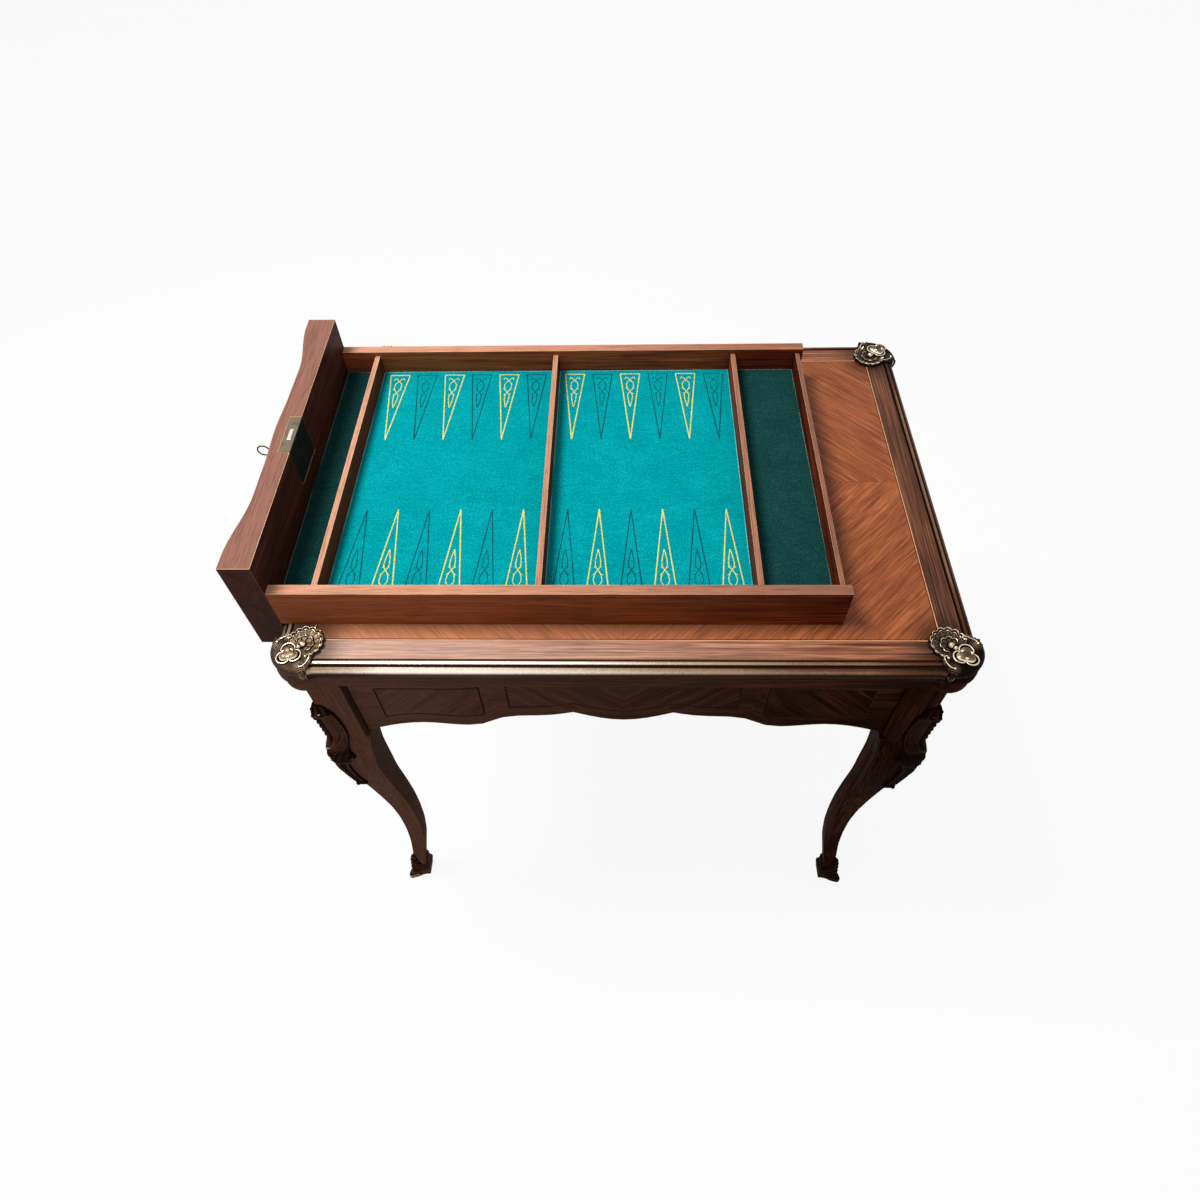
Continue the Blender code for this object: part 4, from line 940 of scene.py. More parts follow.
def mountRelief(look, u, v):
    fromFan = np.hypot(u + look["fanShift"], v) / look["fanRadius"]
    around = np.arctan2(v, -(u - look["rootU"]))
    reach = np.hypot(u - look["rootU"], v)
    inboard = np.clip((0.001 - u) / 0.007, 0, 1)
    dish = 0.0024 * np.clip(fromFan, 0, 1.2) ** 2
    notch = 1 - np.abs(np.cos(look["lobes"] * around)) ** 0.7
    flutes = 0.0006 * (1 - notch) * np.clip((reach - 0.008) / 0.014, 0, 1)
    veins = 0.00012 * np.cos(look["lobes"] * 4 * around) * np.clip((reach - 0.010) / 0.010, 0, 1)
    fromRim = (fromFan - 1 + look["scallop"] / look["fanRadius"] * notch) * look["fanRadius"]
    rim = look["rim"] * (np.exp(-((fromRim + 0.0010) / look["rimWidth"]) ** 2)
                         + 0.2 * np.exp(-((fromRim + 0.0037) / look["rimWidth"]) ** 2))
    height = look["skin"] + inboard * (dish + flutes + veins + rim)
    # the palmette, a small shell with a raised edge, and the bud it springs from
    turned = np.abs(np.cos(4.5 * around))
    edge = look["palmette"] * (1 - 0.17 * (1 - turned ** 0.8)) \
        * (1 - 0.30 * np.clip(np.abs(around) / look["palmetteWide"], 0, 1) ** 2)
    shown = np.clip((look["palmetteWide"] - np.abs(around)) / 0.25, 0, 1)
    within = np.clip((edge - reach) / 0.0008, 0, 1)
    height = height + shown * (0.0019 * np.exp(-((reach - edge) / 0.00070) ** 2) + 0.0008 * within)
    height = height - shown * within * 0.0006 * np.exp(-(turned / 0.30) ** 2) * np.clip((reach - 0.004) / 0.003, 0, 1)
    height = np.maximum(height, look["skin"] + dome(u, v, look["rootU"] - 0.0010, 0, 0.0042, 0.0060))
    height = np.maximum(height, look["skin"] + dome(u, v, look["rootU"] + 0.0042, 0, 0.0030, 0.0052))
    # three lobes that run together in one smooth boss
    near = 0
    for turn in (0, 2 * pi / 3, -2 * pi / 3):
        lobeU = look["bossU"] + look["bossLobe"] * cos(turn)
        lobeV = look["bossLobe"] * sin(turn)
        near = near + np.exp(-2.0 * ((u - lobeU) ** 2 + (v - lobeV) ** 2) / look["bossRadius"] ** 2)
    boss = look["bossHeight"] * np.sqrt(np.clip(1 + np.log(near + 1e-12) / 2.0, 0, 1))
    height = np.maximum(height, look["skin"] - 0.0004 + boss)
    # leaves at both sides of the waist, combed across
    leafFrom = np.hypot(u - 0.0085, np.abs(v) - 0.0225)
    comb = 0.00045 * np.cos((u * 0.5 + np.abs(v)) * 2 * pi / 0.0024)
    leaf = np.clip(1 - (leafFrom / 0.0095) ** 2, 0, 1)
    height = height + leaf * (0.0014 + comb)
    knurl = 0.00035 * np.cos(np.arctan2(v, u) * 46)
    height = height + knurl * np.clip((np.hypot(u, v) - 0.0295) / 0.003, 0, 1) * (1 - inboard)
    return height


def mountScrolls(look):
    # centre lines of the raised wires as (u, v, radius), from one end to the other
    lines = []
    for middle in (0, 2 * pi / 3, -2 * pi / 3):
        centreU = look["bossU"] + look["scrollOut"] * cos(middle)
        centreV = look["scrollOut"] * sin(middle)
        line = []
        steps = 34
        for k in range(steps + 1):
            t = 2 * k / steps - 1
            curl = max(0.0, (abs(t) - 0.70) / 0.30)
            turn = middle + radians(124) * t
            reach = look["scrollRadius"] * (1 - 0.30 * curl ** 1.5)
            wire = look["scrollWire"] * (1 + 0.35 * (1 - abs(t)) - 0.10 * curl)
            line.append((centreU + reach * cos(turn), centreV + reach * sin(turn), wire))
        lines.append(line)
    for sign in (-1, 1):
        points = [(-0.0035, 0.0178), (-0.0060, 0.0168), (-0.0078, 0.0190), (-0.0050, 0.0222), (0.0005, 0.0244),
                  (0.0058, 0.0254), (0.0090, 0.0238)]
        line = smoothLine([(a, sign * b, 0) for a, b in points], 5)
        lines.append([(p.x, p.y, look["scrollWire"] * 0.95) for p in line])
    return lines


def mountStations(look):
    limit = mountLimit
    hanging = int(look["stations"] * 0.42)
    lying = look["stations"] - hanging
    first = limit + 0.004
    last = 2 * pi - limit - 0.004
    stations = [(-limit + 2 * limit * k / (hanging - 1), True) for k in range(hanging)]
    stations += [(first + (last - first) * k / (lying - 1), False) for k in range(lying)]
    return stations, limit


def makeCornerMount(look, name, sx, sy):
    centre = Vector((midX + sx * (halfLength - edgeShape["earInset"]), sy * (halfWidth - edgeShape["earInset"])))
    base = atan2(sy, sx)
    stations, limit = mountStations(look)
    reaches = np.array([mountReach(look, angle, hangs) for angle, hangs in stations])
    angles = np.array([angle for angle, hangs in stations])
    hanging = np.array([hangs for angle, hangs in stations])
    shares = np.array([1 - (1 - k / look["rings"]) ** 1.15 for k in range(1, look["rings"] + 1)])
    radius = shares[:, None] * reaches[None, :]
    u = radius * np.cos(angles)[None, :]
    v = radius * np.sin(angles)[None, :]
    relief = mountRelief(look, u, v)
    around = [mountRelief(look, u + 0.0013 * cos(t), v + 0.0013 * sin(t)) for t in np.arange(8) * pi / 4]
    sunk = np.clip(0.42 + (sum(around) / 8 - relief) / 0.0008, 0, 1)
    sunk = np.maximum(sunk, np.clip(0.66 - (relief - look["skin"]) / 0.0045, 0, 1))
    onBoss = np.clip(1.25 - np.hypot(u - look["bossU"], v) / 0.0095, 0, 1)
    sunk = np.where(relief > look["skin"] + 0.0030, 0.10 + sunk * (1 - 0.3 * onBoss), sunk)
    drop = np.where(hanging[None, :], np.clip((shares[:, None] - 0.88) / 0.12, 0, 1), 0)
    shoulder = np.where(hanging[None, :], np.clip((shares[:, None] - 0.74) / 0.26, 0, 1), 0)
    z = topZ + relief * (1 - 0.75 * drop ** 2) - 0.0034 * shoulder ** 2

    mesh, deep = newCasting()

    def at(r, angle, height):
        turn = base + angle
        return (centre.x + r * cos(turn), centre.y + r * sin(turn), height)

    rows = []
    for j in range(look["rings"]):
        row = []
        for k, (angle, hangs) in enumerate(stations):
            vertex = mesh.verts.new(at(radius[j, k], angle, z[j, k]))
            vertex[deep] = float(sunk[j, k])
            row.append(vertex)
        rows.append(row)
    skinZ = topZ + hair
    lipRows = 5
    for j in range(lipRows + 3):
        row = []
        for k, (angle, hangs) in enumerate(stations):
            reach = reaches[k]
            if hangs:
                wave = 0.0009 * cos(angle * 26) + 0.0006 * cos(angle * 57)
                lip = look["lip"] + wave
                share = min(j + 1, lipRows) / lipRows
                r = reach - 0.0004 + 0.0004 * cos(share * 5 + angle * 40)
                height = z[-1, k] + (topZ - lip - z[-1, k]) * share
                if j == lipRows:
                    r = reach - 0.0016
                if j > lipRows:
                    r, height = reach - 0.0030, skinZ
                if j == lipRows + 2:
                    r = reach - 0.0034
            else:
                share = min(j + 1, lipRows) / lipRows
                r = reach
                height = topZ + relief[-1, k] * (1 - share) + hair * share
                if j >= lipRows:
                    r = reach - 0.0008 * (j - lipRows + 1)
                    height = skinZ
            vertex = mesh.verts.new(at(r, angle, height))
            vertex[deep] = 0.25 + 0.5 * share
            row.append(vertex)
        rows.append(row)
    skin(mesh, rows, closedAcross=True)
    crown = mesh.verts.new(at(0, 0, topZ + float(mountRelief(look, np.array(0.0), np.array(0.0)))))
    under = mesh.verts.new(at(0, 0, skinZ))
    for k in range(len(stations)):
        n = (k + 1) % len(stations)
        mesh.faces.new((crown, rows[0][n], rows[0][k]))
        mesh.faces.new((under, rows[-1][k], rows[-1][n]))
    bmesh.ops.recalc_face_normals(mesh, faces=mesh.faces)

    for line in mountScrolls(look):
        places = np.array([(a, b) for a, b, wire in line])
        heights = mountRelief(look, places[:, 0], places[:, 1])
        floorHeight = look["skin"] + 0.0016
        points = []
        for (a, b, wire), height in zip(line, heights):
            points.append(at(hypot(a, b), atan2(b, a), topZ + max(floorHeight, min(height, 0.0062))))
        tube(mesh, deep, points, [wire for a, b, wire in line])
        for point, wire in ((points[0], line[0][2]), (points[-1], line[-1][2])):
            bead(mesh, deep, Vector(point) + Vector((0, 0, wire * 0.4)), wire * 1.6)
    for sign in (-1, 1):
        makeDrop(mesh, deep, at, sign * (limit - 0.13), look)
    piece = addPiece("cornerMount_" + name, mesh, giltBronze, "root", ["corner_mount_" + name], 60)

    # the wood of the ear shows below the casting
    woodMesh = bmesh.new()
    wood = edgeShape["earRadius"] - edgeShape["width"] + 0.0004
    outer = edgeShape["earRadius"] - 0.0016
    low = topZ - look["bronzeLow"]
    high = topZ - 0.0012
    steps = 36
    rows = []
    for r, height, cut in ((wood, low, 0), (outer - 0.0006, low, 0.45), (outer, low + 0.0006, 0.45),
                           (outer, low + 0.006, 0.60), (outer, high, 1.0), (wood, high, 0)):
        row = []
        for k in range(steps + 1):
            angle = (2 * k / steps - 1) * (limit - 0.008)
            row.append(woodMesh.verts.new(at(r - cut * cornerCut(look, angle), angle, height)))
        rows.append(row)
    skin(woodMesh, rows, closedAlong=True)
    woodMesh.faces.new([row[0] for row in rows])
    woodMesh.faces.new([row[-1] for row in reversed(rows)])
    bmesh.ops.recalc_face_normals(woodMesh, faces=woodMesh.faces)
    addPiece("earWood_" + name, woodMesh, caseUpright, "root", ["corner_mount_" + name], 40)
    return piece


def makeDrop(mesh, deep, at, middle, look):
    # a leaf that hangs down the side of the ear, ribbed along its middle
    rows = []
    count, across = 18, 9
    shell = edgeShape["earRadius"] - 0.0014
    for j in range(count + 1):
        share = j / count
        wide = 0.0034 * (sin(pi * (0.16 + 0.80 * share)) ** 0.8) * (1 + 0.10 * cos(share * 30))
        height = topZ - 0.0022 - 0.0118 * share
        row = []
        for k in range(across):
            t = 2 * k / (across - 1) - 1
            lift = 0.0009 + 0.0020 * (1 - t * t) * sin(pi * min(1, 0.25 + 0.7 * share))
            lift += 0.0003 * cos(k * pi)
            r = min(shell + lift, edgeShape["earRadius"] + look["proud"] - hair)
            vertex = mesh.verts.new(at(r, middle + wide * t / shell, height))
            vertex[deep] = 0.35 + 0.40 * (k % 2) - 0.25 * (k in (0, across - 1))
            row.append(vertex)
        for k in (across - 1, 0):
            t = 2 * k / (across - 1) - 1
            vertex = mesh.verts.new(at(shell + 0.0001, middle + wide * t / shell, height))
            vertex[deep] = 1.0
            row.append(vertex)
        rows.append(row)
    skin(mesh, rows, closedAcross=True)
    mesh.faces.new(rows[0][::-1])
    mesh.faces.new(rows[-1])
    leaf = {face for row in rows for vertex in row for face in vertex.link_faces}
    bmesh.ops.recalc_face_normals(mesh, faces=list(leaf))


for name, (sx, sy) in corners.items():
    makeCornerMount(mountLook, name, sx, sy)
print("corner mounts made")


# Felts, each a cut sheet glued to the drawer's bottom, and the points stitched on the two boards

feltShape = {
    "rows": 0.006,              # spacing of the mesh
    "wave": 0.00016,
    "selvage": 0.0011,          # pale cut edge
    "clear": 0.0003,
}

pointShape = {
    "pitch": 0.0400,
    "wide": 0.0280,
    "length": 0.1370,
    "farEdge": 0.0085,          # from the felt's far edge to the base of a point
    "nearEdge": 0.0085,
    "thread": 0.00095,
    "inner": 0.00072,
    "rise": 0.00050,
    "step": 0.0007,
    "stitch": 0.0030,
}

# The knot inside a point: half of it, as shares of the length and of half the width, mirrored for the other strand
knotStrand = ((0.53, 0.085), (0.44, 0.055), (0.26, 0.062), (0.0, 0.10), (-0.31, 0.145), (-0.35, 0.19),
              (-0.22, 0.245), (0.0, 0.285), (0.19, 0.32), (0.23, 0.365), (0.15, 0.44), (0.0, 0.52))
knotBarbs = (((-0.22, 0.245), (-0.42, 0.228)), ((0.17, 0.33), (0.31, 0.312)))


def makeFelt(node, material):
    low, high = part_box(node)
    clear = feltShape["clear"]
    x0, x1, y0, y1 = low.x + clear, high.x - clear, low.y + clear, high.y - clear
    across = max(4, round((x1 - x0) / feltShape["rows"]))
    along = max(4, round((y1 - y0) / feltShape["rows"]))
    mesh = bmesh.new()
    layers = []
    for level in (0, 1):
        rows = []
        for j in range(along + 1):
            row = []
            for k in range(across + 1):
                x = x0 + (x1 - x0) * k / across
                y = y0 + (y1 - y0) * j / along
                wave = feltShape["wave"] * (sin(x * 61 + y * 23) + sin(y * 47 - x * 19 + 1.3)) / 2
                z = low.z + hair if level == 0 else high.z - feltShape["wave"] * 1.2 + wave
                row.append(mesh.verts.new((x, y, z)))
            rows.append(row)
        layers.append(rows)
        skin(mesh, rows)
    low_, high_ = layers
    border = ([(0, k) for k in range(across + 1)] + [(j, across) for j in range(1, along + 1)]
              + [(along, k) for k in range(across - 1, -1, -1)] + [(j, 0) for j in range(along - 1, 0, -1)])
    for (j0, k0), (j1, k1) in zip(border, border[1:] + border[:1]):
        mesh.faces.new((low_[j0][k0], low_[j1][k1], high_[j1][k1], high_[j0][k0]))
    bmesh.ops.recalc_face_normals(mesh, faces=mesh.faces)
    piece = addPiece("cut_" + node, mesh, material, "tray", [node], 50)
    return piece, (x0, x1, y0, y1), high.z


def stitchLine(mesh, points, half, rise, z):
    # a row of chain stitches: a low ridge that swells at each stitch
    line = [Vector(points[0])]
    for a, b in zip(points, points[1:]):
        a, b = Vector(a), Vector(b)
        count = max(1, round((b - a).length / pointShape["step"]))
        line += [a + (b - a) * (k + 1) / count for k in range(count)]
    rows = []
    run = 0.0
    for k, point in enumerate(line):
        ahead = (line[min(k + 1, len(line) - 1)] - line[max(k - 1, 0)]).normalized()
        side = Vector((-ahead.y, ahead.x, 0))
        run += (point - line[max(k - 1, 0)]).length
        swell = 0.72 + 0.28 * abs(sin(pi * run / pointShape["stitch"]))
        tilt = 0.25 * sin(2 * pi * run / pointShape["stitch"])
        base = Vector((point.x, point.y, z))
        top = Vector((0, 0, rise * swell))
        rows.append([mesh.verts.new(base + side * half * swell),
                     mesh.verts.new(base + side * half * swell * (0.72 + tilt * 0.3) + top * 0.7),
                     mesh.verts.new(base + side * half * tilt * 0.4 + top),
                     mesh.verts.new(base - side * half * swell * (0.72 - tilt * 0.3) + top * 0.7),
                     mesh.verts.new(base - side * half * swell)])
    skin(mesh, rows, closedAcross=True)
    mesh.faces.new(rows[0][::-1])
    mesh.faces.new(rows[-1])


def stitchPoint(mesh, baseX, baseY, toward, z):
    # one point: base line, two sides and the knot, toward is -1 for a point that runs to the front
    shape = pointShape
    half = shape["wide"] / 2

    def at(across, share):
        return (baseX + across * half, baseY + toward * shape["length"] * share, 0)

    tip = at(0, 1)
    lift = z - 0.00012
    stitchLine(mesh, (at(-1, 0), at(1, 0)), shape["thread"], shape["rise"], lift)
    stitchLine(mesh, (at(-1, 0), tip), shape["thread"], shape["rise"], lift)
    stitchLine(mesh, (at(1, 0), tip), shape["thread"], shape["rise"] * 0.96, lift)
    for sign in (-1, 1):
        strand = smoothLine([at(sign * a, b) for a, b in knotStrand], 5)
        stitchLine(mesh, strand, shape["inner"], shape["rise"] * (0.9 + 0.06 * sign), lift)
        for start, stop in knotBarbs:
            stitchLine(mesh, (at(sign * start[0], start[1]), at(sign * stop[0], stop[1])), shape["inner"],
                       shape["rise"] * 0.85, lift)


def makeSelvage(name, edges, z, thread="selvage", wide=feltShape["selvage"]):
    x0, x1, y0, y1 = edges
    mesh = bmesh.new()
    inner = wide * 0.7
    loop = ((x0 + inner, y0 + inner), (x1 - inner, y0 + inner), (x1 - inner, y1 - inner), (x0 + inner, y1 - inner))
    for a, b in zip(loop, loop[1:] + loop[:1]):
        stitchLine(mesh, ((*a, 0), (*b, 0)), inner * 0.8, 0.00025, z - 0.0001)
    bmesh.ops.recalc_face_normals(mesh, faces=mesh.faces)
    return addPiece(name, mesh, threads[thread], "tray", (), 60)


def makeBoard(side, firstYellow):
    felt, edges, z = makeFelt("felt_" + side + "_board", boardFelt)
    x0, x1, y0, y1 = edges
    level = z - feltShape["wave"] * 1.2
    middle = (x0 + x1) / 2
    meshes = {"yellow": bmesh.new(), "green": bmesh.new()}
    for k in range(6):
        x = middle + (k - 2.5) * pointShape["pitch"]
        far = "yellow" if (k % 2 == 0) == firstYellow else "green"
        near = "green" if far == "yellow" else "yellow"
        stitchPoint(meshes[far], x, y1 - pointShape["farEdge"], -1, level)
        stitchPoint(meshes[near], x, y0 + pointShape["nearEdge"], 1, level)
    pieces = [makeSelvage("selvage_" + side, edges, level)]
    for colour, mesh in meshes.items():
        bmesh.ops.recalc_face_normals(mesh, faces=mesh.faces)
        pieces.append(addPiece("stitched_" + side + "_" + colour, mesh, threads[colour], "tray",
                               (), 60))


for side in ("left", "right"):
    felt, edges, z = makeFelt("felt_" + side + "_tray", trayFelt)
    edging = makeSelvage("edging_" + side, edges, z - feltShape["wave"] * 1.2, "cut", 0.0008)
    makeBoard(side, True)
print("felts and stitched points made")

# Legs: a square block that runs down into a cabriole, its arrises eased

legShape = {
    "inset": 0.016,             # from the outermost brass in to the leg
    "blockX": 0.045,
    "blockY": 0.0505,
    "kneeX": 0.0515,            # where the leg swells out below the block
    "kneeY": 0.0465,
    "shoulder": 0.0012,         # height of the step below the block
    "arris": 0.0032,            # rounding of the arris that faces out
    "ease": 0.0016,             # rounding of the other three
    "sweep": 0.0160,
    "slim": 0.0215,
    "step": 0.006,
}

# Share of the height below the block, share of the sweep, share of the width from ankle to knee
legLine = ((1.000, 0.00, 1.00), (0.998, 0.00, 0.98), (0.968, -0.17, 0.98), (0.939, -0.31, 1.00),
           (0.901, -0.40, 0.99), (0.857, -0.38, 0.94), (0.807, -0.24, 0.86), (0.756, -0.04, 0.75),
           (0.716, 0.12, 0.65), (0.674, 0.285, 0.575), (0.586, 0.60, 0.47), (0.498, 0.86, 0.37),
           (0.410, 0.98, 0.29), (0.321, 0.96, 0.235), (0.233, 0.81, 0.155), (0.158, 0.54, 0.055),
           (0.101, 0.30, 0.00), (0.050, 0.13, 0.03), (0.000, 0.00, 0.10))
legX = halfLength - legShape["inset"]
legY = halfWidth - legShape["inset"]


def legShares(z):
    share = (z - legFoot) / (legBlockLow - legFoot)
    for (h0, s0, w0), (h1, s1, w1) in zip(legLine, legLine[1:]):
        if share >= h1:
            t = min(1.0, (share - h1) / (h0 - h1))
            return s1 + (s0 - s1) * t, w1 + (w0 - w1) * t
    return legLine[-1][1:]


def legMean(z, which, reach):
    # a share of the leg's line, smoothed over a short height
    return sum(legShares(z + reach * k / 3)[which] for k in (-3, -2, -1, 0, 1, 2, 3)) / 7


def legCorner(z):
    # how far the outer arris lies in from its place at the block
    return legShape["sweep"] * legMean(z, 0, 0.010) if z < legBlockLow - 0.010 else \
        legShape["sweep"] * legShares(z)[0]


def legWidths(z):
    if z > legBlockLow - 0.0001:
        return legShape["blockX"], legShape["blockY"]
    wide = legMean(z, 1, 0.008)
    slim = legShape["slim"]
    return slim + (legShape["kneeX"] - slim) * wide, slim + (legShape["kneeY"] - slim) * wide


def legOutline(z, fine=0):
    # around the leg, inward from the outer arris along X and Y, with more points along each face if fine
    s = legCorner(z)
    wideX, wideY = legWidths(z)
    a, e = legShape["arris"], legShape["ease"]
    farX, farY = s + wideX, s + wideY
    outline = []
    for x, y, r, start in ((s, s, a, 1.0), (farX, s, e, 1.5), (farX, farY, e, 0.0), (s, farY, e, 0.5)):
        centreX = x + r if x == s else x - r
        centreY = y + r if y == s else y - r
        steps = 6 if r == a else 3
        for k in range(steps + 1):
            turn = pi * (start + 0.5 * k / steps)
            point = (centreX + r * cos(turn), centreY + r * sin(turn))
            if k == 0 and outline and fine:
                last = outline[-1]
                outline += [(last[0] + (point[0] - last[0]) * n / fine, last[1] + (point[1] - last[1]) * n / fine)
                            for n in range(1, fine)]
            outline.append(point)
    if fine:
        last, point = outline[-1], outline[0]
        outline += [(last[0] + (point[0] - last[0]) * n / fine, last[1] + (point[1] - last[1]) * n / fine)
                    for n in range(1, fine)]
    return outline


def fromCorner(sx, sy, a, b, z):
    return (midX + sx * (legX - a), sy * (legY - b), z)


def makeLeg(name, sx, sy):
    mesh = bmesh.new()
    knee = legBlockLow - legShape["shoulder"]
    count = round((knee - legFoot) / legShape["step"])
    levels = [legFoot + (knee - legFoot) * j / count for j in range(count + 1)]
    levels += [legBlockLow, legBlockLow + 0.002, frameTop - hair]
    rows = [[mesh.verts.new(fromCorner(sx, sy, a, b, z)) for a, b in legOutline(z)] for z in levels]
    skin(mesh, rows, closedAcross=True)
    mesh.faces.new(rows[0])
    mesh.faces.new(rows[-1])
    bmesh.ops.recalc_face_normals(mesh, faces=mesh.faces)
    addPiece("cabriole_" + name, mesh, caseUpright, "root", ["leg_" + name], 35)


for name, (sx, sy) in corners.items():
    makeLeg(name, sx, sy)
print("legs made")


# Knee mounts: a leafy tuft, a long C scroll round a plain panel, a bud on each face and a forked tail

kneeShape = {
    "rows": 230,
    "across": 60,
    "length": 0.243,
    "wing": 0.0235,
    "bulge": 0.0135,
    "edge": 0.0012,
    "rim": 0.0021,
    "scroll": (0.07, 0.40),     # where the C scroll begins and ends
    "hook": 0.415,
    "leaf": (0.43, 0.60),
    "tail": 0.60,
    "bud": (0.545, 0.86, 0.0027),
}
kneeWing = ((0.0, 0.22), (0.025, 0.42), (0.05, 0.56), (0.09, 0.74), (0.15, 0.84), (0.225, 0.90), (0.29, 0.90),
            (0.36, 0.80), (0.46, 0.74), (0.50, 0.82), (0.54, 1.00), (0.565, 0.96), (0.59, 0.72), (0.62, 0.45),
            (0.66, 0.32), (0.81, 0.24), (0.91, 0.22), (0.95, 0.30), (0.98, 0.24), (1.0, 0.10))
kneeBulge = ((0.0, 0.20), (0.03, 0.48), (0.06, 0.70), (0.09, 0.74), (0.13, 0.64), (0.20, 0.60), (0.27, 0.56),
             (0.33, 0.58), (0.37, 0.78), (0.41, 1.00), (0.45, 0.92), (0.49, 0.84), (0.54, 0.70), (0.58, 0.60),
             (0.64, 0.46), (0.72, 0.40), (0.80, 0.36), (0.88, 0.34), (0.93, 0.36), (0.96, 0.42), (1.0, 0.14))


def ridge(value, middle, width):
    return 2.718 ** -(((value - middle) / width) ** 2)


def kneeReach(place):
    return legShape["arris"] + kneeShape["wing"] * between(place, kneeWing)


def kneeRelief(place, across):
    # how far the casting stands off, and how deep the point lies, across runs from 0 at the arris to 1
    shape = kneeShape
    bulge = shape["bulge"] * between(place, kneeBulge)
    dome = bulge * sqrt(max(0.0, 1 - across * across))
    first, last = shape["scroll"]
    lumps = abs(sin(place * 70))
    if first < place < last:
        inside = min(1.0, 2.4 * sin(pi * (place - first) / (last - first)))
        leafy = max(0.0, 1 - across / 0.16) * (place < 0.31)
        panel = bulge * (0.52 - 0.30 * across + 0.30 * ridge(across, 0, 0.12) * (0.6 + 0.6 * lumps))
        # the inner rim bends towards the arris at both its ends
        run = (place - first) / (last - first)
        bend = 0.76 - 0.42 * max(0.0, 0.35 - run) / 0.35 - 0.30 * max(0.0, run - 0.72) / 0.28
        panel += 0.0016 * ridge(across, 0.42, 0.26)
        rims = shape["rim"] * (ridge(across, 0.91, 0.050) + 0.6 * ridge(across, bend, 0.050))
        height = dome + (panel + rims - dome) * inside
        sunk = inside * (0.40 * ridge(across, 0.84, 0.030) + 0.22 * ridge(across, bend - 0.09, 0.04)
                         + 0.50 * ridge(across, 0.17, 0.05) + 0.7 * leafy * (1 - lumps)
                         - 0.16 * ridge(across, 0.91, 0.03) - 0.10 * ridge(across, bend, 0.03))
        return height, max(0.0, sunk + 0.40)
    if place <= first:
        comb = 0.5 + 0.5 * cos(across * 15 + place * 30)
        return dome * (0.70 + 0.30 * comb), 0.44 + 0.45 * (1 - comb)
    if place > shape["tail"]:
        fade = min(1.0, (place - shape["tail"]) / 0.04)
        stem = max(ridge(across, 0.0, 0.26), ridge(across, 0.84, 0.17))
        tip = place > 0.90
        leafy = 0.5 + 0.5 * cos(place * 300 + across * 7) if tip else 1.0
        high = dome * (0.55 + 0.45 * stem * fade) + 0.0012 * ridge(across, 0.84, 0.13) * (not tip)
        return high * (0.80 + 0.20 * leafy), \
            0.40 + 0.55 * fade * (1 - stem) * (not tip) + 0.30 * tip + 0.3 * (1 - leafy)
    hook = ridge(place, shape["hook"] - 0.05 * across, 0.008) * max(0.0, 1 - across / 0.45)
    # the rough leaf below the hook, in rows of small lumps
    start, stop = shape["leaf"]
    rough = min(1.0, 6 * max(0.0, min(place - start, stop - place)) / (stop - start))
    cell = 0.5 + 0.25 * cos((place + 0.05 * across) * 250) + 0.25 * cos(across * 23 + place * 90)
    cell = min(1.0, max(0.0, cell + 0.18 * sin(place * 611 + across * 37) + 0.12 * sin(across * 71 - place * 190)))
    budPlace, budAcross, budRadius = shape["bud"]
    away = hypot((place - budPlace) * shape["length"], (across - budAcross) * kneeReach(place))
    bud = ridge(away, budRadius, 0.0009)
    dot = ridge(away, 0.0, 0.0012)
    flat = ridge(away, 0.0, 0.0048)
    height = dome * (0.86 + 0.14 * cell * rough) + 0.0012 * hook + 0.0008 * cell * rough * (1 - flat) \
        + 0.0016 * bud + 0.0018 * dot
    sunk = 0.46 + 0.45 * rough * (1 - cell) * (1 - flat) - 0.5 * hook - 0.45 * dot - 0.16 * bud \
        + 0.45 * flat * (1 - bud) * (1 - dot)
    return height, max(0.0, sunk)


def kneeAt(sx, sy, place, p, out):
    # a point over the two faces that meet in the arris, p from -1 at the edge on one face to 1 on the other
    z = kneeShape["top"] - kneeShape["length"] * place
    s = legCorner(z)
    serrate = 1 + 0.05 * abs(sin(place * 88)) if place < 0.60 or place > 0.90 else 1.05
    reach = legShape["arris"] + (kneeReach(place) - legShape["arris"]) * serrate / 1.05
    turn = (p + 1) * pi / 4
    return s, reach, fromCorner(sx, sy, s + reach * max(0.0, -p) - out * sin(turn),
                                s + reach * max(0.0, p) - out * cos(turn), z)


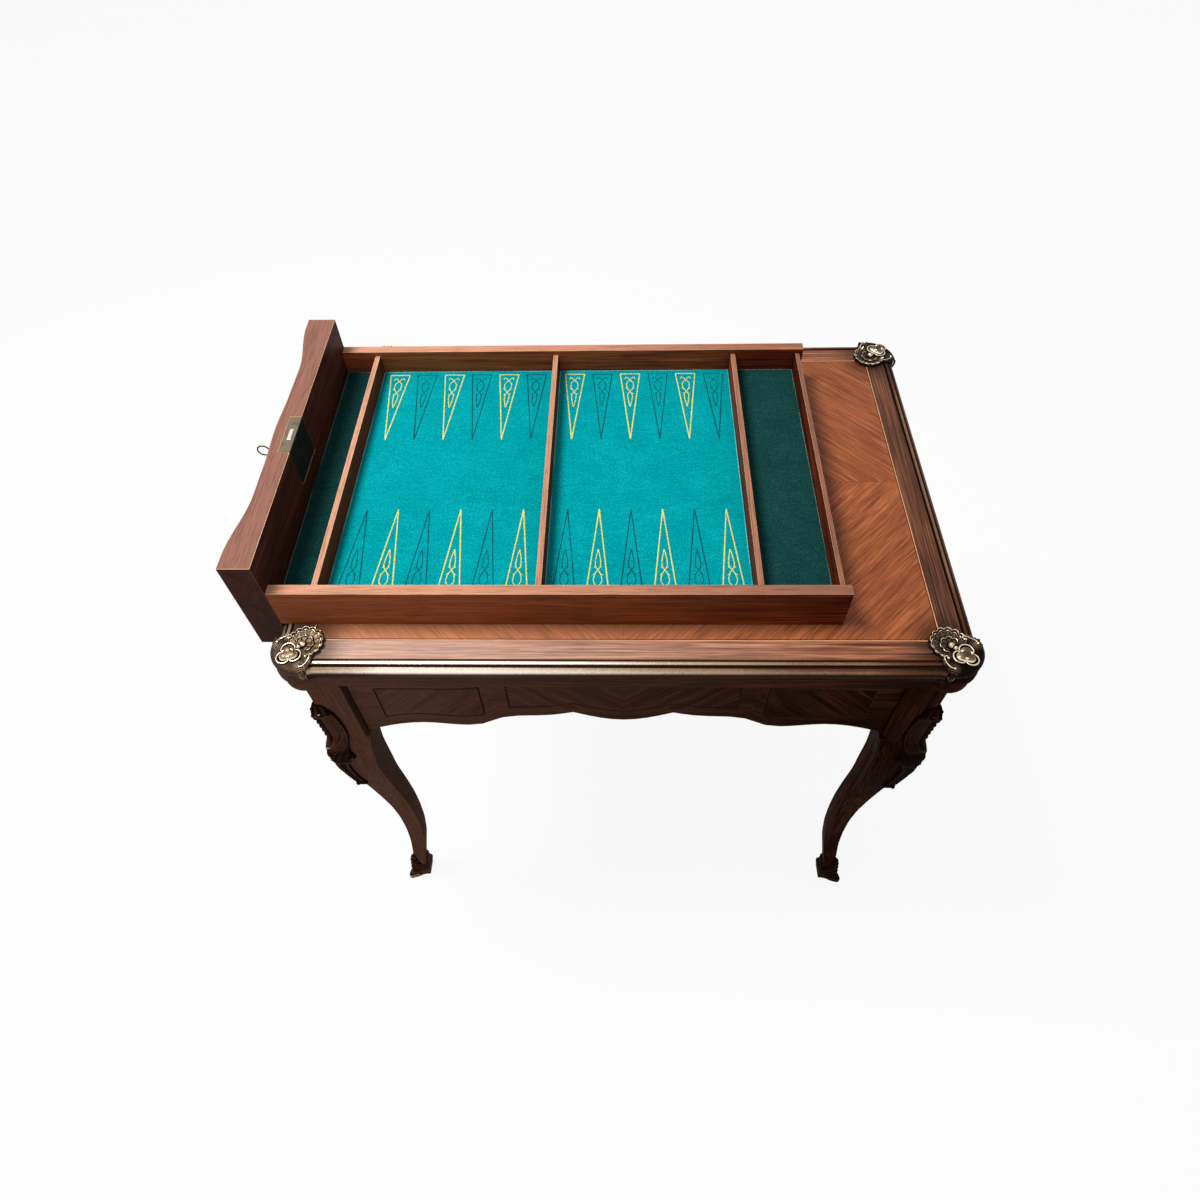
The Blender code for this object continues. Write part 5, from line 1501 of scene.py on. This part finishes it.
def makeKneeMount(name, sx, sy):
    shape = kneeShape
    mesh, deep = newCasting()
    rows = []
    a = legShape["arris"]
    for j in range(shape["rows"] + 1):
        place = j / shape["rows"]
        row = []
        for k in range(shape["across"] + 1):
            p = -1 + 2 * k / shape["across"]
            off, sunk = kneeRelief(place, abs(p))
            s, reach, point = kneeAt(sx, sy, place, p, (shape["edge"] + off) * 0.985)
            vertex = mesh.verts.new(point)
            vertex[deep] = min(1.0, sunk + 0.5 * max(0.0, abs(p) - 0.94) * 16)
            row.append(vertex)
        z = shape["top"] - shape["length"] * place
        for b, c in ((-hair, s + reach), (-hair, s + a), (s + a * 0.25, s + a * 0.25), (s + a, -hair),
                     (s + reach, -hair)):
            vertex = mesh.verts.new(fromCorner(sx, sy, s + b if b < 0 else b, s + c if c < 0 else c, z))
            vertex[deep] = 1.0
            row.append(vertex)
        rows.append(row)
    skin(mesh, rows, closedAcross=True)
    mesh.faces.new(rows[0])
    mesh.faces.new(rows[-1])
    bmesh.ops.recalc_face_normals(mesh, faces=mesh.faces)
    # round beads: two in the tuft, one where each stem of the fork begins, and one at the tip
    for place, p, radius, tone in ((0.060, 0.40, 0.0022, 0.1), (0.060, -0.40, 0.0022, 0.1),
                                   (0.020, 0.0, 0.0024, 0.6), (0.585, 0.66, 0.0019, 0.35),
                                   (0.585, -0.66, 0.0019, 0.35), (0.955, 0.0, 0.0036, 0.7)):
        off, sunk = kneeRelief(place, abs(p))
        bead(mesh, deep, kneeAt(sx, sy, place, p, off * 0.95)[2], radius, tone=tone)
    addPiece("kneeMount_" + name, mesh, darkBronze, "root", ["knee_mount_" + name], 60)


kneeShape["top"] = highOf("knee_mount_front_left").z
for name, (sx, sy) in corners.items():
    makeKneeMount(name, sx, sy)
print("knee mounts made")


# Sabots: shoes with a scrolled toe, a round heel and a leaf that climbs the arris

sabotShape = {
    "rows": 84,
    "fine": 16,
    "wall": 0.0017,
    "leafTop": 0.0795,
    "faceTop": 0.0380,
    "heelTop": 0.0500,
    "leafWide": 0.0105,
    "toeWide": 0.0100,
    "heel": 0.0030,
    "volute": (0.0045, 0.0090, 0.0062),     # in from the arris, height, radius
}
# Height, and how far the toe and the leaf above it stand out
sabotToe = ((0.0, 0.0056), (0.002, 0.0078), (0.005, 0.0096), (0.009, 0.0104), (0.012, 0.0096), (0.015, 0.0066),
            (0.019, 0.0036), (0.024, 0.0024), (0.031, 0.0036), (0.038, 0.0044), (0.042, 0.0030), (0.046, 0.0030),
            (0.051, 0.0044), (0.055, 0.0030), (0.059, 0.0026), (0.064, 0.0038), (0.068, 0.0022), (0.073, 0.0026),
            (0.077, 0.0016), (0.080, 0.0004))


def sabotRelief(along, inward, z):
    # along is the way from the outer arris over a face, inward is 1 at the inner arris
    shape = sabotShape
    front = ridge(along, 0, shape["toeWide"] if z < 0.020 else shape["leafWide"])
    out = shape["wall"] + between(z, sabotToe) * front
    out += shape["heel"] * ridge(z, 0.018, 0.011) * inward
    centre, level, radius = shape["volute"]
    away = hypot(along - centre, z - level)
    turn = atan2(z - level, along - centre)
    curl = 0.5 + 0.5 * cos(2 * pi * away / 0.0036 - turn)
    inside = max(0.0, min(1.0, (radius * 1.25 - away) / 0.002)) * (inward < 0.5)
    out += 0.0009 * curl * inside
    vein = 0.5 + 0.5 * cos(2 * pi * (along * 0.7 + z * 0.55) / 0.0052)
    above = max(0.0, min(1.0, (z - 0.018) / 0.006)) * (1 - 0.7 * inward)
    out += 0.00055 * vein * above
    sunk = 0.35 + 0.55 * (1 - curl) * inside + 0.55 * (1 - vein) * above - 0.55 * ridge(away, 0, 0.0016) \
        - 0.3 * inside * curl + 0.3 * ridge(z, 0.021, 0.003) * front
    return out, max(0.0, min(1.0, sunk))


def makeSabot(name, sx, sy):
    shape = sabotShape
    mesh, deep = newCasting()
    rows = []
    foot = legOutline(legFoot, shape["fine"])
    footIn, footWide = legCorner(legFoot), legWidths(legFoot)[0]
    alongs = [max(0.0, a + b - 2 * footIn - 0.0019) for a, b in foot]
    outlines = {}
    for j in range(shape["rows"] + 1):
        share = j / shape["rows"]
        row = []
        for k, along in enumerate(alongs):
            inward = max(0.0, min(1.0, (along - footWide * 0.9) / (footWide * 0.8)))
            top = shape["faceTop"] + (shape["leafTop"] - shape["faceTop"]) * ridge(along, 0, shape["leafWide"] * 0.8)
            top += (shape["heelTop"] - shape["faceTop"]) * inward
            z = top * share
            # the leg's outline at the height that this point reaches
            level = max(round(z, 4), legFoot)
            if level not in outlines:
                outlines[level] = legOutline(level, shape["fine"]), legCorner(level), legWidths(level)
            outline, s, (wideX, wideY) = outlines[level]
            a, b = outline[k]
            out, sunk = sabotRelief(along, inward, z)
            sideX = (a - s - wideX / 2) / (wideX / 2)
            sideY = (b - s - wideY / 2) / (wideY / 2)
            out *= 1 - 0.55 * max(0.0, share - 0.96) / 0.04
            vertex = mesh.verts.new(fromCorner(sx, sy, a + out * sideX, b + out * sideY, z))
            vertex[deep] = sunk
            row.append(vertex)
        rows.append(row)
    skin(mesh, rows, closedAcross=True)
    mesh.faces.new(rows[0])
    # the top edge turns in against the leg
    inner = [mesh.verts.new(vertex.co) for vertex in rows[-1]]
    centre = sum((vertex.co for vertex in rows[-1]), Vector()) / len(rows[-1])
    for vertex in inner:
        pull = Vector((centre.x - vertex.co.x, centre.y - vertex.co.y, 0))
        vertex.co += pull.normalized() * 0.0016
        vertex[deep] = 1.0
    skin(mesh, [rows[-1], inner], closedAcross=True)
    mesh.faces.new(inner)
    bmesh.ops.recalc_face_normals(mesh, faces=mesh.faces)
    addPiece("shoe_" + name, mesh, darkBronze, "root", ["sabot_" + name], 60)


for name, (sx, sy) in corners.items():
    makeSabot(name, sx, sy)
print("sabots made")


# The key

keyShape = {
    "shank": 0.0020,
    "bowRadius": 0.0077,
    "bowWire": 0.0009,
    "bitReach": 0.0080,
    "bitWide": 0.0043,
    "bitThick": 0.0015,
}


def makeKey(shape):
    low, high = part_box("key")
    bowX = low.x + shape["bowRadius"] + shape["bowWire"]
    y = (low.y + high.y) / 2
    z = high.z - shape["bowRadius"] - shape["bowWire"]
    mesh, deep = newCasting()
    wire = shape["bowWire"] * 0.98
    turns = 56
    rows = []
    for k in range(turns):
        turn = 2 * pi * k / turns
        # the bow is a round ring
        centre = Vector((bowX + (shape["bowRadius"] - 0.0001) * cos(turn), y,
                         z + (shape["bowRadius"] - 0.0001) * sin(turn)))
        out = Vector((cos(turn), 0, sin(turn)))
        row = []
        for j in range(12):
            around = 2 * pi * j / 12
            vertex = mesh.verts.new(centre + wire * (cos(around) * out + sin(around) * Vector((0, 1, 0))))
            vertex[deep] = 0.45 + 0.35 * max(0.0, -cos(around))
            row.append(vertex)
        rows.append(row)
    skin(mesh, rows, closedAcross=True, closedAlong=True)
    shankLow = bowX + shape["bowRadius"]
    line, radii = [], []
    profile = ((0.0, 1.0), (0.0006, 1.45), (0.0012, 1.0), (0.0030, 0.9), (0.0100, 0.9), (0.0104, 1.4),
               (0.0112, 1.5), (0.0120, 1.4), (0.0124, 0.95))
    for run, size in profile:
        line.append((shankLow + run, y, z))
        radii.append(shape["shank"] * size)
    line.append((high.x, y, z))
    radii.append(shape["shank"] * 0.95)
    tube(mesh, deep, line, radii, 16)
    bitX = high.x - 0.0066
    corner = ((-shape["bitWide"] / 2, -shape["bitThick"] / 2), (shape["bitWide"] / 2, -shape["bitThick"] / 2),
              (shape["bitWide"] / 2, shape["bitThick"] / 2), (-shape["bitWide"] / 2, shape["bitThick"] / 2))
    rows = [[mesh.verts.new((bitX + a * size, y + b * size, z - run)) for a, b in corner]
            for run, size in ((0.001, 1.0), (shape["bitReach"] - 0.0004, 1.0), (shape["bitReach"], 0.85))]
    skin(mesh, rows, closedAcross=True)
    mesh.faces.new(rows[0][::-1])
    mesh.faces.new(rows[-1])
    bmesh.ops.recalc_face_normals(mesh, faces=mesh.faces)
    addPiece("keyWithBow", mesh, darkBronze, "key", ["key"], 40)


makeKey(keyShape)
print("key made")


# Inlaid lines on the aprons, a light one beside a dark strip of painted groove shadow, and the bright lower edge of
# the lock's case

def apronFace(node, axis):
    # the outer face of an apron as rows of (place along it, face, lower edge), read from its mesh
    source = frame["nodes"][node].data
    columns = {}
    for vertex in source.vertices:
        along, out = (vertex.co.x, vertex.co.y) if axis == "X" else (vertex.co.y, vertex.co.x)
        columns.setdefault(round(along, 4), []).append((out, vertex.co.z))
    return sorted((along, points) for along, points in columns.items())


def faceLine(node, axis, sign, halfSpan):
    rows = []
    for along, points in apronFace(node, axis):
        middle = midX if axis == "X" else 0.0
        if abs(along - middle) > halfSpan:
            continue
        face = max(out * sign for out, z in points) * sign
        low = min(z for out, z in points if abs(out - face) < 0.001)
        rows.append((along, face, low))
    return rows


def faceAt(rows, along):
    for (x0, f0, l0), (x1, f1, l1) in zip(rows, rows[1:]):
        if along <= x1 + 1e-9:
            t = max(0.0, (along - x0) / (x1 - x0))
            return f0 + (f1 - f0) * t, l0 + (l1 - l0) * t
    return rows[-1][1:]


def ribbon(mesh, rows, axis, sign, points, width):
    # a thin strip let into the face, along points given as (place along the apron, height)
    made = []
    for k, (along, z) in enumerate(points):
        before, after = points[max(k - 1, 0)], points[min(k + 1, len(points) - 1)]
        ahead = Vector((after[0] - before[0], after[1] - before[1])).normalized()
        row = []
        for side, lift in ((-1, -0.0003), (-1, panelLook["proud"]), (1, panelLook["proud"]), (1, -0.0003)):
            place = along - ahead.y * side * width / 2
            height = z + ahead.x * side * width / 2
            out = faceAt(rows, place)[0] + sign * lift
            row.append(mesh.verts.new((place, out, height) if axis == "X" else (out, place, height)))
        made.append(row)
    skin(mesh, made, closedAcross=True)
    mesh.faces.new(made[0])
    mesh.faces.new(made[-1])


def makeInlay(node, axis, sign, lines):
    halfSpan = lines[0] + 0.03
    rows = faceLine(node, axis, sign, halfSpan)
    middle = midX if axis == "X" else 0.0
    width = panelLook["width"]
    top = frameTop - panelLook["topLine"]
    fields = [(lines[1], lines[0]), (-lines[0], -lines[1])]
    if len(lines) > 2:
        fields.append((-lines[2], lines[2]))
    else:
        fields.append((-lines[1] + 0.012, lines[1] - 0.012))
    # the dark ribbon is painted shadow, standing in for the groove's shade beside the light line
    for offset, material, word in ((0.0, inlayLine, "light"), (width, inlayShadowLine, "dark")):
        mesh = bmesh.new()
        for start, stop in fields:
            a, b = middle + start + offset, middle + stop - offset
            steps = max(4, round((b - a) / 0.006))
            places = [a + (b - a) * k / steps for k in range(steps + 1)]
            lower = [(x, faceAt(rows, x)[1] + panelLook["bottomLine"] + offset) for x in places]
            ribbon(mesh, rows, axis, sign, lower, width)
            ribbon(mesh, rows, axis, sign, [(x, top - offset) for x in places], width)
            for x in (a, b):
                low = faceAt(rows, x)[1] + panelLook["bottomLine"] + offset
                upright = [(x, low + width / 2), (x, (low + top) / 2), (x, top - offset - width / 2)]
                ribbon(mesh, rows, axis, sign, upright, width)
        bmesh.ops.recalc_face_normals(mesh, faces=mesh.faces)
        addPiece("inlay_" + word + "_" + node, mesh, material, "root", (), 60)


makeInlay("apron_front", "X", -1, panelLook["lines"])
makeInlay("apron_back", "X", 1, panelLook["lines"])
makeInlay("apron_right", "Y", 1, panelLook["endLines"])


def makeLockEdge():
    low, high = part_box("lock_case")
    mesh, deep = newCasting()
    bmesh.ops.create_cube(mesh, size=1.0)
    for vertex in mesh.verts:
        x, y, z = vertex.co
        vertex.co = (high.x + 0.0001 + (x + 0.5) * 0.0004, (low.y + high.y) / 2 + y * (high.y - low.y),
                     low.z + 0.0003 + (z + 0.5) * 0.0006)
        vertex[deep] = 0.1
    bmesh.ops.bevel(mesh, geom=mesh.edges[:], offset=0.0001, segments=2, affect="EDGES")
    addPiece("lockCaseEdge", mesh, boltSteel, "tray", (), 40)


makeLockEdge()
print("inlay and lock edge made")
